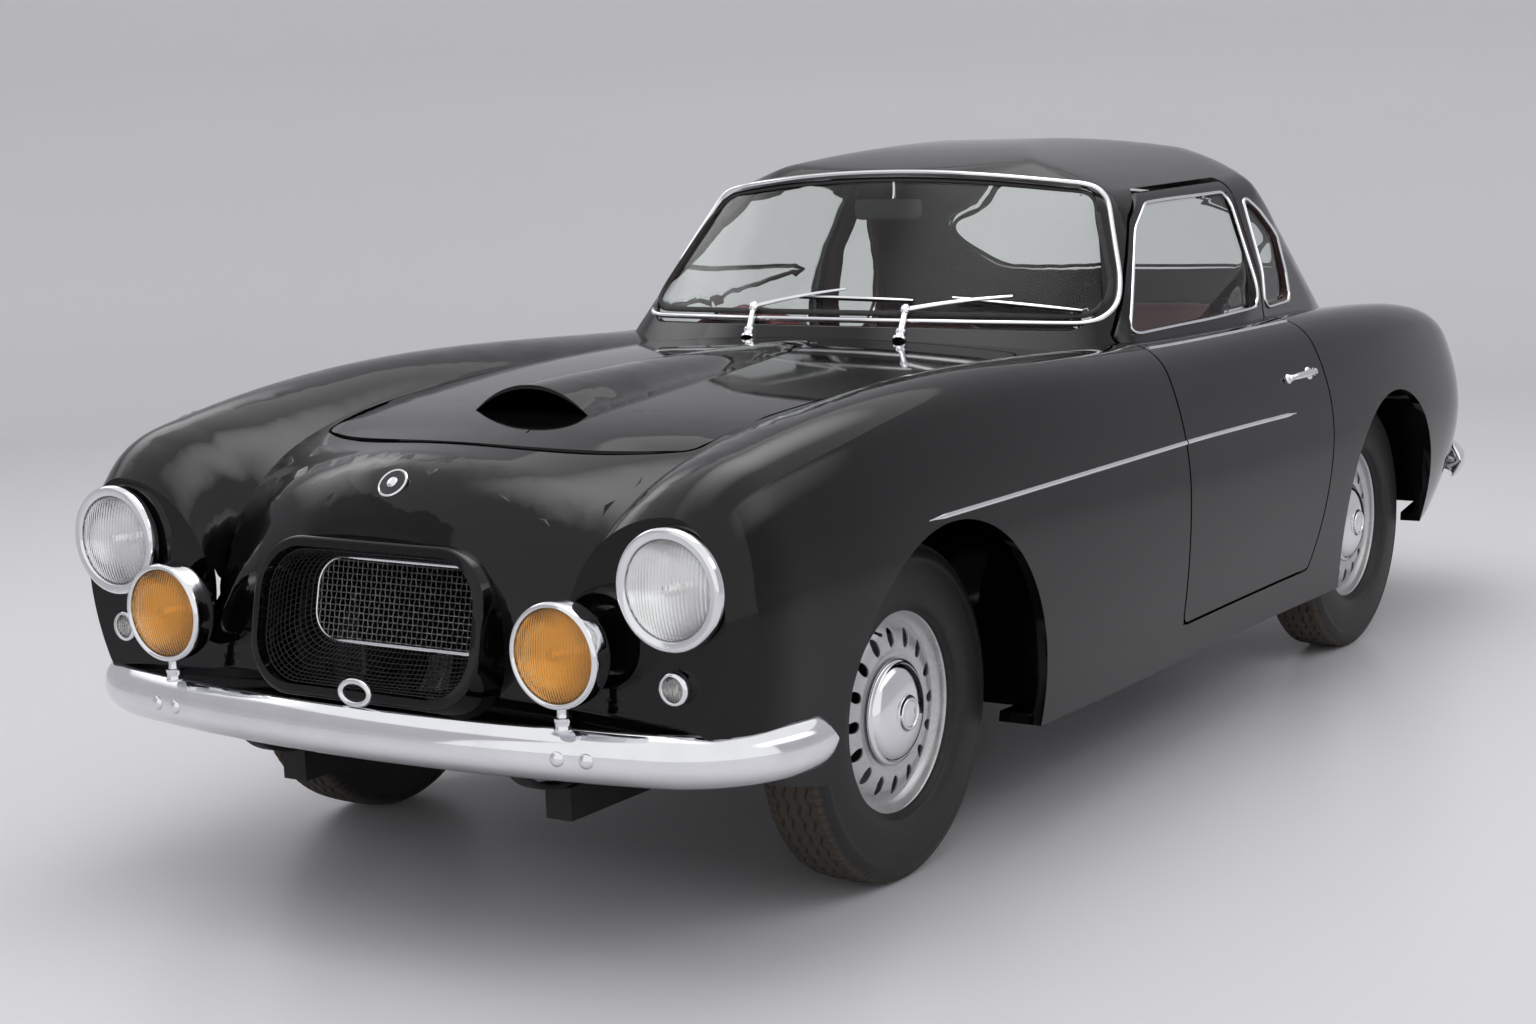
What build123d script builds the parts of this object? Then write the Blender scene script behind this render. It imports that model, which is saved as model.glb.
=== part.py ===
from build123d import *
import math
import os
from collections import namedtuple

# A 1950s two-door coupe at its real size, built as separate body panels, running gear and cabin pieces.
# Frame: millimetres, +X towards the nose, +Y towards the car's left side, +Z up.
# The origin is on the ground, halfway along the overall length, on the centre line.

os.makedirs("parts", exist_ok=True)

# Driving dimensions
overall_length = 4350.0
wheelbase = 2438.0
front_overhang = 841.0
track_front = 1320.0
track_rear = 1350.0
tyre_radius = 343.0
tyre_width = 150.0
rim_radius = 221.0
body_half_width = 862.0

# Wall thicknesses and clearances
panel_wall = 22.0
door_wall = 55.0
roof_wall = 26.0
shut_gap = 7.0
seat_gap = 0.3

axle_front_x = overall_length / 2 - front_overhang
axle_rear_x = axle_front_x - wheelbase

# Shut lines
door_front_x = 250.0
door_rear_x = -600.0
door_bottom_z = 322.0
belt_z = 972.0
bonnet_front_x = 1820.0
bonnet_corner_x = 1655.0
bonnet_half_width = 470.0
bonnet_rear_x = 440.0
bonnet_rear_half_width = 545.0
bonnet_round = 60.0
boot_front_x = -1600.0
boot_rear_x = -2260.0
boot_half_width = 430.0
boot_bottom_z = 560.0
boot_height = 420.0
boot_round = 70.0
door_round = 25.0
frame_knee_x = -8.0
frame_top_x = -125.0
frame_rear_x = -655.0
frame_top_z = 1303.0
frame_width = 30.0
frame_wall = 14.0
frame_gap = 11.0
window_sill_lift = 14.0
door_top_y = 680.0

# Window openings
pillar_width = 52.0
quarter_back_x = -868.0
quarter_round = 38.0
screen_low_y = 655.0
screen_low_z = 1012.0
screen_high_y = 530.0
screen_high_z = 1352.0
screen_round = 55.0
back_low_y = 430.0
back_low_z = 1012.0
back_tip_y = 520.0
back_tip_z = 1160.0
back_high_z = 1270.0
back_round = 60.0

# Wheel arches
arch_front_x = axle_front_x + 18.0
arch_front_radius = 395.0
arch_rear_radius = 368.0
arch_z = tyre_radius + 2.0

# Lower body: one row for each cross-section.
# x: station; crown: height on the centre line; valley: hollow beside the bonnet; crest: the wing's top;
# side: the widest point; sill: the lowest corner
Section = namedtuple("Section", "x crown valley_y valley_z crest_y crest_z side_y side_z sill_y sill_z")
w = body_half_width
body_sections = [
    Section(2045, 790, 455, 520, 680, 845, w - 70, 640, 715, 405),
    Section(1985, 865, 460, 690, 688, 895, w - 38, 650, 770, 372),
    Section(1860, 912, 475, 820, 695, 938, w - 18, 655, 805, 330),
    Section(1650, 938, 505, 898, 700, 970, w - 6, 655, 830, 295),
    Section(axle_front_x, 962, 545, 942, 702, 998, w, 645, 842, 262),
    Section(850, 980, 570, 960, 705, 999, w, 635, 838, 243),
    Section(door_front_x, 985, 590, 955, 700, 972, w, 620, 822, 232),
    Section(-450, 960, 600, 948, 705, 956, w + 1, 615, 820, 230),
    Section(axle_rear_x, 940, 600, 925, 715, 938, w, 620, 826, 245),
    Section(-1520, 905, 590, 880, 705, 905, w - 22, 605, 790, 300),
    Section(-1840, 815, 540, 790, 665, 828, w - 78, 580, 715, 350),
    Section(-2060, 700, 470, 680, 590, 715, w - 170, 560, 620, 395),
]


# Cabin: the form over the belt line is where five simple surfaces meet, with rounded edges.
cabin_foot_z = 830.0
cabin_base_z = 930.0
cabin_top_z = 1424.0
cabin_top_x = -450.0
cabin_belt_y = 718.0
cabin_rail_y = 572.0
cabin_rail_z = 1290.0
roof_crown = 8.0
screen_base_x = 490.0
screen_side_x = 320.0
screen_side_y = 650.0
screen_lean = 0.878
back_base_x = -1500.0
back_corner_x = -1462.0
back_corner_y = 300.0
back_side_x = -1090.0
back_side_y = 628.0
back_lean = 1.25
roof_front_z = 1366.0
roof_front_x = 90.0
roof_back_z = 1340.0
roof_back_x = -1050.0
cabin_round = 110.0
frame_round = 80.0
lining_round = 60.0

# Bonnet scoop: one row for each cross-section from its mouth back to the scuttle
ScoopRow = namedtuple("ScoopRow", "x half_width foot top")
scoop_rows = [
    ScoopRow(1562, 150, 938, 1002),
    ScoopRow(1330, 148, 955, 1006),
    ScoopRow(950, 120, 972, 1006),
    ScoopRow(520, 70, 977, 993),
]
scoop_depth = 60.0
scoop_wall = 9.0

# Grille mouth
mouth_x = 2103.0
mouth_z = 615.0
mouth_lean = 12.4
mouth_width = 528.0
mouth_height = 264.0
mouth_round = 92.0
lip = 20.0
snout_length = 110.0

# Inner structure
well_front_x = 1990.0
well_rear_x = -1960.0
well_half_width = 740.0
well_top_z = 430.0
plate_wall = 12.0
inner_wing_y = 378.0
inner_wing_low_z = 390.0
inner_wing_high_z = 880.0
inner_wing_front_x = 1690.0
splash_x = 892.0
bulkhead_x = 425.0
floor_low_z = 300.3
rear_floor_z = 450.0
kick_x = -650.0
seat_bulkhead_x = -1010.0
tunnel_half_width = 120.0
tunnel_top_z = 430.0
tub_inner_y = 560.0
roof_foot_z = 850.0
tub_clearance = 22.0
axle_rise = 85.0
rear_split_x = -500.0
glass_set = 8.0


# Running gear
rim_width = 114.0
rim_wall = 4.0
bead_radius = 203.0
tread_width = 112.0
disc_knee = 178.0
hub_radius = 96.0
drum_radius = 118.0
drum_depth = 46.0
vent_ring_radius = 150.0
vent_count = 16
vent_length = 34.0
vent_width = 22.0
cap_radius = 108.0
stub_radius = 16.0
run_gap = 0.06
kingpin_y = 578.0
kingpin_radius = 18.0
kingpin_length = 190.0
arm_low_z = 238.0
arm_wall = 20.0
arm_tip = 18.0
rail_y = 335.0
rail_width = 60.0
rail_low_z = 235.0
rail_top_z = 300.0
rail_front_x = 1960.0
rail_rear_x = -1700.0
axle_tube_radius = 38.0
diff_radius = 98.0
shaft_radius = 28.0
spring_y = 455.0
wheel_places = {
    "front_left": (axle_front_x, track_front / 2),
    "front_right": (axle_front_x, -track_front / 2),
    "rear_left": (axle_rear_x, track_rear / 2),
    "rear_right": (axle_rear_x, -track_rear / 2),
}

# Engine and gearbox as one block
engine_front_x = 1285.0
engine_rear_x = 590.0
engine_half_width = 190.0
engine_low_z = 372.0
engine_top_z = 860.0

# Lamps: x of the rim's front, y, z, rim radius, lens radius, depth
Lamp = namedtuple("Lamp", "x y z rim lens depth")
headlamp = Lamp(2076, 686, 720, 112, 89, 30.7)
fog_lamp = Lamp(2150, 484, 600, 98, 85, 62)
side_lamp = Lamp(2066, 683, 541, 32, 22, 20.7)
tail_lamp = Lamp(-2078, 590, 625, 38, 28, 18)

# Bumpers
bumper_height = 100.0
bumper_wall = 12.0
bumper_z = 410.0
bumper_tip_x = 1790.0
bumper_tip_y = 858.0
bumper_bow_y = 650.0
bumper_sweep = 68.0
bracket_wall = 12.0

rear_tip_x = -1850.0
rear_tip_y = 790.0
rear_bow_y = 560.0
rear_sweep = 54.0
cross_places = (1700.0, 350.0, -700.0, -1650.0)
cross_wall = 40.0
pipe_y = -215.0
pipe_z = 232.0
pipe_radius = 20.0
grille_set = 96.0
grille_wire = 4.0
grille_pitch = 44.0
grille_count = 10

# Cabin pieces
dash_half_width = 576.5
column_length = 500.0
silencer_front_x = -130.0
silencer_length = 520.0
silencer_height = 88.0
silencer_width = 116.0
mirror_x = 106.0
mirror_z = 1271.0
rear_seat_x = -660.0
rear_seat_low_z = rear_floor_z + plate_wall + seat_gap
rear_seat_high_z = 560.0
dash_x = 215.0
dash_depth = 95.0
dash_top_z = 945.0
wheel_centre = (-25.0, -350.0, 838.0)
wheel_tilt = 28.0
hand_wheel_radius = 200.0
hand_wheel_grip = 11.0
seat_y = 345.0
seat_width = 410.0
seat_front_x = 30.0
cushion_length = 500.0
cushion_low_z = 330.0
cushion_high_z = 545.0
seat_back_top_z = 985.0
seat_back_wall = 130.0


def half_profile(s, inset=0.0):
    """Corner points and arc middles of one half-section, taken in by inset all round."""
    crown, valley = s.crown - inset, (s.valley_y, s.valley_z - inset)
    crest, side = (s.crest_y, s.crest_z - inset), (s.side_y - inset, s.side_z)
    sill = (s.sill_y - inset, s.sill_z + inset)
    # shoulder: a tight arc off the crest, then a long one down to the widest point
    a, b = side[0] - crest[0], crest[1] - side[1]
    tight = 0.72 * a
    long = (a * a + (b - tight) ** 2 - tight * tight) / (2 * (a - tight))
    c1 = (crest[0], crest[1] - tight)
    c2 = (side[0] - long, side[1])
    reach = math.dist(c1, c2)
    joint = tuple(c2[i] + (c1[i] - c2[i]) * long / reach for i in (0, 1))
    turn = math.atan2(joint[1] - c1[1], joint[0] - c1[0])
    half_way = (math.pi / 2 + turn) / 2
    tight_mid = (c1[0] + tight * math.cos(half_way), c1[1] + tight * math.sin(half_way))
    long_mid = (c2[0] + long * math.cos(turn / 2), c2[1] + long * math.sin(turn / 2))
    return crown, valley, crest, tight_mid, joint, long_mid, side, sill


def arc_middle(top, end):
    """The middle of an arc that leaves top level and ends at end."""
    across, drop = end[0] - top[0], top[1] - end[1]
    radius = (across**2 + drop**2) / (2 * drop)
    angle = math.asin(across / radius)
    if abs(drop) > radius:
        angle = math.copysign(math.pi, across) - angle
    return top[0] + radius * math.sin(angle / 2), top[1] - radius * (1 - math.cos(angle / 2))


def body_outline(s, inset=0.0):
    """The closed cross-section as one outline, y across and z up."""
    crown, valley, crest, tight_mid, joint, long_mid, side, sill = half_profile(s, inset)
    with BuildLine() as outline:
        ThreePointArc((0, crown), arc_middle((0, crown), valley), valley)
        ThreePointArc(valley, arc_middle(crest, valley), crest)
        ThreePointArc(crest, tight_mid, joint)
        ThreePointArc(joint, long_mid, side)
        low_mid = (side[0] - (side[0] - sill[0]) * 0.27, (side[1] + sill[1]) / 2)
        ThreePointArc(side, low_mid, sill)
        Line(sill, (0, sill[1]))
        mirror(about=Plane.YZ)
    return outline.edges()


def body_loft(inset, trim=0.0):
    """The lower body as one closed form, taken in by inset, its two ends drawn in by trim."""
    last = len(body_sections) - 1
    with BuildPart() as form:
        for i, s in enumerate(body_sections):
            x = s.x - trim if i == 0 else s.x + trim if i == last else s.x
            with BuildSketch(Plane.YZ.offset(x)):
                make_face(body_outline(s, inset))
        loft()
    return form.part


def body_loft(inset, trim=0.0):
    """The lower body as one closed form, taken in by inset, its two ends drawn in by trim."""
    last = len(body_sections) - 1
    with BuildPart() as form:
        for i, s in enumerate(body_sections):
            x = s.x - trim if i == 0 else s.x + trim if i == last else s.x
            with BuildSketch(Plane.YZ.offset(x)):
                make_face(body_outline(s, inset))
        loft()
    return form.part


def cabin_form(inset=0.0, rounding=None):
    """The greenhouse as one closed form, taken in by inset, its foot well below the belt."""
    base, top = cabin_foot_z, cabin_top_z - inset
    tall = cabin_top_z - base + 60
    side_lean = (cabin_belt_y - cabin_rail_y) / (cabin_rail_z - cabin_base_z)
    drop = base - cabin_base_z
    rail = (cabin_rail_y - inset, cabin_rail_z - inset * side_lean)
    with BuildPart() as form:
        with BuildSketch(Plane.YZ.offset(-2000)):
            with BuildLine():
                foot = (cabin_belt_y - inset - drop * side_lean, base)
                Polyline((0, base), foot, rail)
                ThreePointArc(rail, arc_middle((0, top + roof_crown), rail), (0, top + roof_crown))
                mirror(about=Plane.YZ)
            make_face()
        extrude(amount=2800)
        with BuildSketch(Plane.XZ):
            with BuildLine():
                roof_arc = ThreePointArc(
                    (roof_front_x, roof_front_z - inset), (cabin_top_x, top), (roof_back_x, roof_back_z - inset)
                )
                front = Line(roof_arc @ 0, roof_arc @ 0 + (roof_arc % 0) * -900)
                rear = Line(roof_arc @ 1, roof_arc @ 1 + (roof_arc % 1) * 900)
                Polyline(rear @ 1, ((rear @ 1).X, base), ((front @ 1).X, base), front @ 1)
            make_face()
        extrude(amount=900, both=True, mode=Mode.INTERSECT)
        shift = -inset * math.hypot(1, screen_lean) - screen_lean * drop
        with BuildSketch(Plane.XY.offset(base)):
            with BuildLine():
                glass = ThreePointArc(
                    (screen_side_x + shift, -screen_side_y),
                    (screen_base_x + shift, 0),
                    (screen_side_x + shift, screen_side_y),
                )
                ends = [glass @ 0 + (glass % 0) * -300, glass @ 1 + (glass % 1) * 300]
                Line(glass @ 0, ends[0])
                Line(glass @ 1, ends[1])
                Polyline(ends[0], (-2600, ends[0].Y), (-2600, ends[1].Y), ends[1])
            make_face()
        forward_lean = Vector(-screen_lean, 0, 1).normalized()
        extrude(amount=tall * math.hypot(1, screen_lean), dir=forward_lean, mode=Mode.INTERSECT)
        shift = inset * math.hypot(1, back_lean) * 0.9 + back_lean * drop
        with BuildSketch(Plane.XY.offset(base)):
            with BuildLine():
                glass = ThreePointArc(
                    (back_corner_x + shift, -back_corner_y),
                    (back_base_x + shift, 0),
                    (back_corner_x + shift, back_corner_y),
                )
                open_ends = []
                for end, way in ((0, -1), (1, 1)):
                    side = (back_side_x + shift, math.copysign(back_side_y - inset, way))
                    turn = TangentArc(glass @ end, side, tangent=(glass % end) * way)
                    open_ends.append(turn @ 1 + (turn % 1) * 2600)
                    Line(turn @ 1, open_ends[-1])
                Line(*open_ends)
            make_face()
        backward_lean = Vector(back_lean, 0, 1).normalized()
        extrude(amount=tall * math.hypot(1, back_lean), dir=backward_lean, mode=Mode.INTERSECT)
        raised = form.edges().filter_by(lambda e: e.bounding_box().max.Z > base + 1)
        fillet(raised, radius=rounding or cabin_round - inset)
    return form.part


def bonnet_plan(grow):
    """Plan of the bonnet on a level plane, grown or shrunk by grow."""
    with BuildSketch(Plane.XY.offset(belt_z - 300)) as plan:
        with BuildLine():
            nose = ThreePointArc(
                (bonnet_corner_x, -bonnet_half_width), (bonnet_front_x, 0), (bonnet_corner_x, bonnet_half_width)
            )
            rear = [(bonnet_rear_x, -bonnet_rear_half_width), (bonnet_rear_x, bonnet_rear_half_width)]
            Polyline(nose @ 0, *rear, nose @ 1)
        make_face()
        fillet(plan.vertices(), radius=bonnet_round)
        offset(amount=grow, kind=Kind.INTERSECTION, mode=Mode.REPLACE)
    return plan.sketch


def boot_view(grow):
    """Rear view of the boot lid on an upright plane behind the tail, grown or shrunk by grow."""
    with BuildSketch(Plane.YZ.offset(boot_rear_x)) as view:
        with Locations((0, boot_bottom_z)):
            RectangleRounded(2 * boot_half_width, boot_height, boot_round, align=(Align.CENTER, Align.MIN))
        offset(amount=grow, kind=Kind.INTERSECTION, mode=Mode.REPLACE)
    return view.sketch


def door_side(grow):
    """Side view of the whole door, window frame included, grown or shrunk by grow."""
    with BuildSketch(Plane.XZ) as side:
        with BuildLine():
            rear = ThreePointArc(
                (door_rear_x, belt_z - 12), (door_rear_x - 32, 640), (door_rear_x + 90, door_bottom_z)
            )
            front = [(door_front_x, door_bottom_z), (door_front_x, belt_z + 13)]
            frame = [(frame_knee_x, 1240), (frame_top_x, frame_top_z - 4), (frame_rear_x, frame_top_z)]
            Polyline(rear @ 1, *front, *frame, rear @ 0)
        make_face()
        fillet(side.vertices(), radius=door_round)
        offset(amount=grow, kind=Kind.INTERSECTION, mode=Mode.REPLACE)
    return side.sketch


def door_window(grow):
    """Side view of the door's window opening, grown or shrunk by grow."""
    with BuildSketch(Plane.XZ) as window:
        add(door_side(-frame_width))
        with Locations((0, belt_z + window_sill_lift)):
            Rectangle(2600, 1200, align=(Align.CENTER, Align.MIN), mode=Mode.INTERSECT)
        offset(amount=grow, kind=Kind.INTERSECTION, mode=Mode.REPLACE)
    return window.sketch


def quarter_window(grow):
    """Side view of the small window behind the door, grown or shrunk by grow."""
    with BuildSketch(Plane.XZ) as window:
        with BuildLine():
            top = (frame_rear_x - pillar_width, frame_top_z - 42)
            back = ThreePointArc(top, (quarter_back_x + 42, 1150), (quarter_back_x, belt_z + 6))
            Polyline(top, (door_rear_x - 32, belt_z + 6), back @ 1)
        make_face()
        fillet(window.vertices(), radius=quarter_round)
        offset(amount=grow, kind=Kind.INTERSECTION, mode=Mode.REPLACE)
    return window.sketch


def screen_view(low_y, low_z, low_rise, high_y, high_z, high_rise, radius, grow):
    """A bowed window seen from the front or the back, on an upright plane."""
    with BuildSketch(Plane.YZ) as view:
        with BuildLine():
            low = ThreePointArc((-low_y, low_z - low_rise), (0, low_z), (low_y, low_z - low_rise))
            high = ThreePointArc((-high_y, high_z - high_rise), (0, high_z), (high_y, high_z - high_rise))
            Line(low @ 0, high @ 0)
            Line(low @ 1, high @ 1)
        make_face()
        fillet(view.vertices(), radius=radius)
        offset(amount=grow, kind=Kind.INTERSECTION, mode=Mode.REPLACE)
    return view.sketch


def windscreen_view(grow):
    return screen_view(screen_low_y, screen_low_z, 14, screen_high_y, screen_high_z, 42, screen_round, grow)


def back_window_view(grow):
    rise = back_high_z - back_tip_z
    return screen_view(back_low_y, back_low_z, -10, back_tip_y, back_high_z, rise, back_round, grow)


def scoop_form(inset):
    """The bulge over the bonnet that opens forwards, taken in by inset."""
    with BuildPart() as form:
        for row in scoop_rows:
            front = inset * 4 if row is scoop_rows[0] else 0
            half, top, foot = row.half_width - inset, row.top - inset, row.foot + inset * 0.4
            with BuildSketch(Plane.YZ.offset(row.x + front)):
                with BuildLine():
                    arc = ThreePointArc((-half, foot), (0, top), (half, foot))
                    if inset:
                        Line(arc @ 0, arc @ 1)
                    else:
                        deep = foot - scoop_depth
                        Polyline(arc @ 0, (-half, deep), (half, deep), arc @ 1)
                make_face()
        loft()
    return form.part


def write(piece, name):
    """Label a finished piece and write it under its name."""
    piece.label = name
    export_step(piece, f"parts/{name}.step")


def pair(piece, name):
    """Write a left-hand piece and its mirrored twin."""
    write(piece, name + "_left")
    write(mirror(piece, about=Plane.XZ), name + "_right")


def both_sides(piece):
    """One piece of two solids, the left one and its mirror."""
    return Compound([piece, mirror(piece, about=Plane.XZ)])


# Main forms, each made once
body_outer = body_loft(0.0)
body_inner = body_loft(panel_wall, panel_wall)
body_core = body_loft(door_wall, door_wall)
cabin_outer = cabin_form()
cabin_inner = cabin_form(roof_wall, lining_round)
cabin_frame = cabin_form(frame_wall, frame_round)
cabin_glass = cabin_form(glass_set)
across = body_half_width + 100

with BuildPart() as hull:
    add(body_outer)
    add(body_inner, mode=Mode.SUBTRACT)
    add(cabin_inner, mode=Mode.SUBTRACT)
    with BuildSketch(Plane.XY):
        with Locations(((well_front_x + well_rear_x) / 2, 0)):
            Rectangle(well_front_x - well_rear_x, 2 * well_half_width)
    extrude(amount=well_top_z, mode=Mode.SUBTRACT)
    with BuildSketch(Plane.XZ):
        with Locations((arch_front_x, arch_z)):
            Circle(arch_front_radius)
        with Locations((axle_rear_x, arch_z)):
            Circle(arch_rear_radius)
    extrude(amount=across, both=True, mode=Mode.SUBTRACT)
    extrude(door_side(shut_gap / 2), amount=across, both=True, mode=Mode.SUBTRACT)

# Front body: wings, nose and scuttle, with the duct of the grille mouth
lean = math.radians(mouth_lean)
mouth_plane = Plane(origin=(mouth_x, 0, mouth_z), x_dir=(0, 1, 0), z_dir=(math.cos(lean), 0, math.sin(lean)))
with BuildPart() as snout:
    with BuildSketch(mouth_plane):
        RectangleRounded(mouth_width + 2 * lip, mouth_height + 2 * lip, mouth_round + lip)
    with BuildSketch(mouth_plane.offset(-snout_length)):
        RectangleRounded(mouth_width + 3.6 * lip, mouth_height + 3.6 * lip, mouth_round + 1.8 * lip)
    loft()
    fillet(snout.faces().sort_by(Axis.X)[-1].edges(), radius=lip * 0.45)
with BuildPart() as splash:
    with BuildSketch(Plane.YZ.offset(splash_x)):
        for side in (-1, 1):
            with Locations((side * (inner_wing_y + plate_wall / 2), inner_wing_low_z)):
                Rectangle(600, 800, align=(Align.MIN if side > 0 else Align.MAX, Align.CENTER))
    extrude(amount=plate_wall)
    add(body_inner, mode=Mode.INTERSECT)
with BuildPart() as front_body:
    add(hull.part)
    split(bisect_by=Plane.YZ.offset(door_front_x), keep=Keep.TOP)
    extrude(bonnet_plan(shut_gap / 2), amount=900, mode=Mode.SUBTRACT)
    add(snout.part)
    with BuildSketch(mouth_plane.offset(lip)):
        RectangleRounded(mouth_width, mouth_height, mouth_round)
    extrude(amount=-snout_length - 2 * lip, mode=Mode.SUBTRACT)
    with BuildSketch(Plane.XY.offset(inner_wing_low_z)):
        for side in (-1, 1):
            with Locations((inner_wing_front_x, side * inner_wing_y)):
                long = inner_wing_front_x - bulkhead_x - plate_wall
                Rectangle(long, plate_wall, align=(Align.MAX, Align.CENTER))
    extrude(amount=inner_wing_high_z - inner_wing_low_z)
    add(splash.part)
write(front_body.part, "front_body")

# Bonnet, with the hollow scoop along its middle
with BuildPart() as bonnet:
    add(body_outer)
    add(scoop_form(0.0))
    add(body_inner, mode=Mode.SUBTRACT)
    add(scoop_form(scoop_wall), mode=Mode.SUBTRACT)
    extrude(bonnet_plan(-shut_gap / 2), amount=900, mode=Mode.INTERSECT)
write(bonnet.part, "bonnet")

# Doors: the skin at full thickness with the window frame over the belt, made for the left and mirrored
with BuildPart() as frame:
    add(cabin_outer)
    split(bisect_by=Plane.XY.offset(belt_z - 30), keep=Keep.TOP)
    add(cabin_frame, mode=Mode.SUBTRACT)
    split(bisect_by=Plane.XZ, keep=Keep.BOTTOM)
with BuildPart() as door:
    add(body_outer)
    add(body_core, mode=Mode.SUBTRACT)
    with BuildSketch(Plane.XY):
        with Locations((0, door_top_y)):
            Rectangle(3000, 400, align=(Align.CENTER, Align.MIN))
    extrude(amount=1200, mode=Mode.INTERSECT)
    add(frame.part)
    extrude(door_side(-shut_gap / 2), amount=-across, mode=Mode.INTERSECT)
    extrude(door_window(0), amount=-across, mode=Mode.SUBTRACT)
pair(door.part, "door")

# Rear body: wings and tail, with the inner arches
with BuildPart() as tubs:
    with BuildSketch(Plane.XZ.offset(-tub_inner_y)):
        with Locations((axle_rear_x, arch_z)):
            Circle(arch_rear_radius + tub_clearance + plate_wall)
    extrude(amount=-400)
    with BuildSketch(Plane.XZ.offset(-tub_inner_y - plate_wall)):
        with Locations((axle_rear_x, arch_z)):
            Circle(arch_rear_radius + tub_clearance)
            Rectangle(1200, 800, align=(Align.CENTER, Align.MAX))
    extrude(amount=-400, mode=Mode.SUBTRACT)
    # the axle's way through the inner wall
    with BuildSketch(Plane.XZ.offset(-tub_inner_y + 1)):
        with Locations((axle_rear_x, arch_z + axle_rise)):
            Rectangle(2 * axle_tube_radius + 70, 700, align=(Align.CENTER, Align.MAX))
    extrude(amount=-plate_wall - 2, mode=Mode.SUBTRACT)
    mirror(about=Plane.XZ)
    add(body_inner, mode=Mode.INTERSECT)
with BuildPart() as rear_body:
    add(hull.part)
    split(bisect_by=Plane.YZ.offset(rear_split_x), keep=Keep.BOTTOM)
    extrude(boot_view(shut_gap / 2), amount=boot_front_x - boot_rear_x + shut_gap / 2, mode=Mode.SUBTRACT)
    add(tubs.part)
write(rear_body.part, "rear_body")

with BuildPart() as boot_lid:
    add(body_outer)
    add(body_inner, mode=Mode.SUBTRACT)
    extrude(boot_view(-shut_gap / 2), amount=boot_front_x - boot_rear_x - shut_gap / 2, mode=Mode.INTERSECT)
write(boot_lid.part, "boot_lid")

# Floor with its tunnel, the sills under the doors, and the bulkheads
with BuildPart() as pan:
    with BuildSketch(Plane.YZ.offset(kick_x)):
        with BuildLine():
            low, high, slope = floor_low_z, tunnel_top_z, 35
            Polyline(
                (0, high), (tunnel_half_width - slope, high), (tunnel_half_width, low), (across, low),
                (across, low + plate_wall), (tunnel_half_width + plate_wall, low + plate_wall),
                (tunnel_half_width - slope + plate_wall, high + plate_wall),
                (0, high + plate_wall), (0, high),
            )
        make_face()
        mirror(about=Plane.YZ)
    extrude(amount=bulkhead_x - kick_x)
    with BuildSketch(Plane.YZ.offset(bulkhead_x)):
        with Locations((0, floor_low_z)):
            Rectangle(2 * across, 900, align=(Align.CENTER, Align.MIN))
    extrude(amount=plate_wall)
    with BuildSketch(Plane.YZ.offset(kick_x - plate_wall)):
        with Locations((0, tunnel_top_z)):
            Rectangle(2 * tub_inner_y - 1, rear_floor_z - tunnel_top_z, align=(Align.CENTER, Align.MIN))
        for side in (-1, 1):
            with Locations((side * (tub_inner_y - 0.5), floor_low_z)):
                wide = tub_inner_y - tunnel_half_width - 0.5
                tall = rear_floor_z - floor_low_z
                Rectangle(wide, tall, align=(Align.MAX if side > 0 else Align.MIN, Align.MIN))
    extrude(amount=plate_wall)
    with BuildSketch(Plane.XY.offset(rear_floor_z)):
        with Locations((kick_x, 0)):
            Rectangle(1370, 2 * tub_inner_y - 1, align=(Align.MAX, Align.CENTER))
    extrude(amount=plate_wall)
    with BuildSketch(Plane.YZ.offset(seat_bulkhead_x)):
        with Locations((0, rear_floor_z)):
            Rectangle(2 * tub_inner_y - 1, 900, align=(Align.CENTER, Align.MIN))
    extrude(amount=-plate_wall)
    # the shaft's way through the front bulkhead
    with BuildSketch(Plane.YZ.offset(bulkhead_x)):
        with BuildLine():
            Polyline(
                (-tunnel_half_width + slope, high), (tunnel_half_width - slope, high),
                (tunnel_half_width, low), (-tunnel_half_width, low), (-tunnel_half_width + slope, high),
            )
        make_face()
    extrude(amount=plate_wall, mode=Mode.SUBTRACT)
    # clear of the rear arches
    for side in (-1, 1):
        with BuildSketch(Plane.XZ.offset(side * (tub_inner_y - seat_gap))):
            with Locations((axle_rear_x, arch_z)):
                Circle(arch_rear_radius + tub_clearance + plate_wall + seat_gap)
        extrude(amount=side * 500, mode=Mode.SUBTRACT)
    add(body_inner, mode=Mode.INTERSECT)
with BuildPart() as floor_and_sills:
    add(hull.part)
    split(bisect_by=Plane.YZ.offset(door_front_x), keep=Keep.BOTTOM)
    split(bisect_by=Plane.YZ.offset(rear_split_x), keep=Keep.TOP)
    split(bisect_by=Plane.XY.offset(door_bottom_z), keep=Keep.BOTTOM)
    add(pan.part)
write(floor_and_sills.part, "floor_and_sills")

# Roof with its pillars and window openings
with BuildPart() as roof:
    add(cabin_outer)
    split(bisect_by=Plane.XY.offset(roof_foot_z), keep=Keep.TOP)
    add(cabin_inner, mode=Mode.SUBTRACT)
    extrude(windscreen_view(0), amount=900, mode=Mode.SUBTRACT)
    extrude(back_window_view(0).moved(Location((-2200, 0, 0))), amount=1250, mode=Mode.SUBTRACT)
    extrude(quarter_window(0), amount=across, both=True, mode=Mode.SUBTRACT)
    extrude(door_side(frame_gap - shut_gap / 2), amount=across, both=True, mode=Mode.SUBTRACT)
    add(body_outer, mode=Mode.SUBTRACT)
write(roof.part, "roof")

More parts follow.
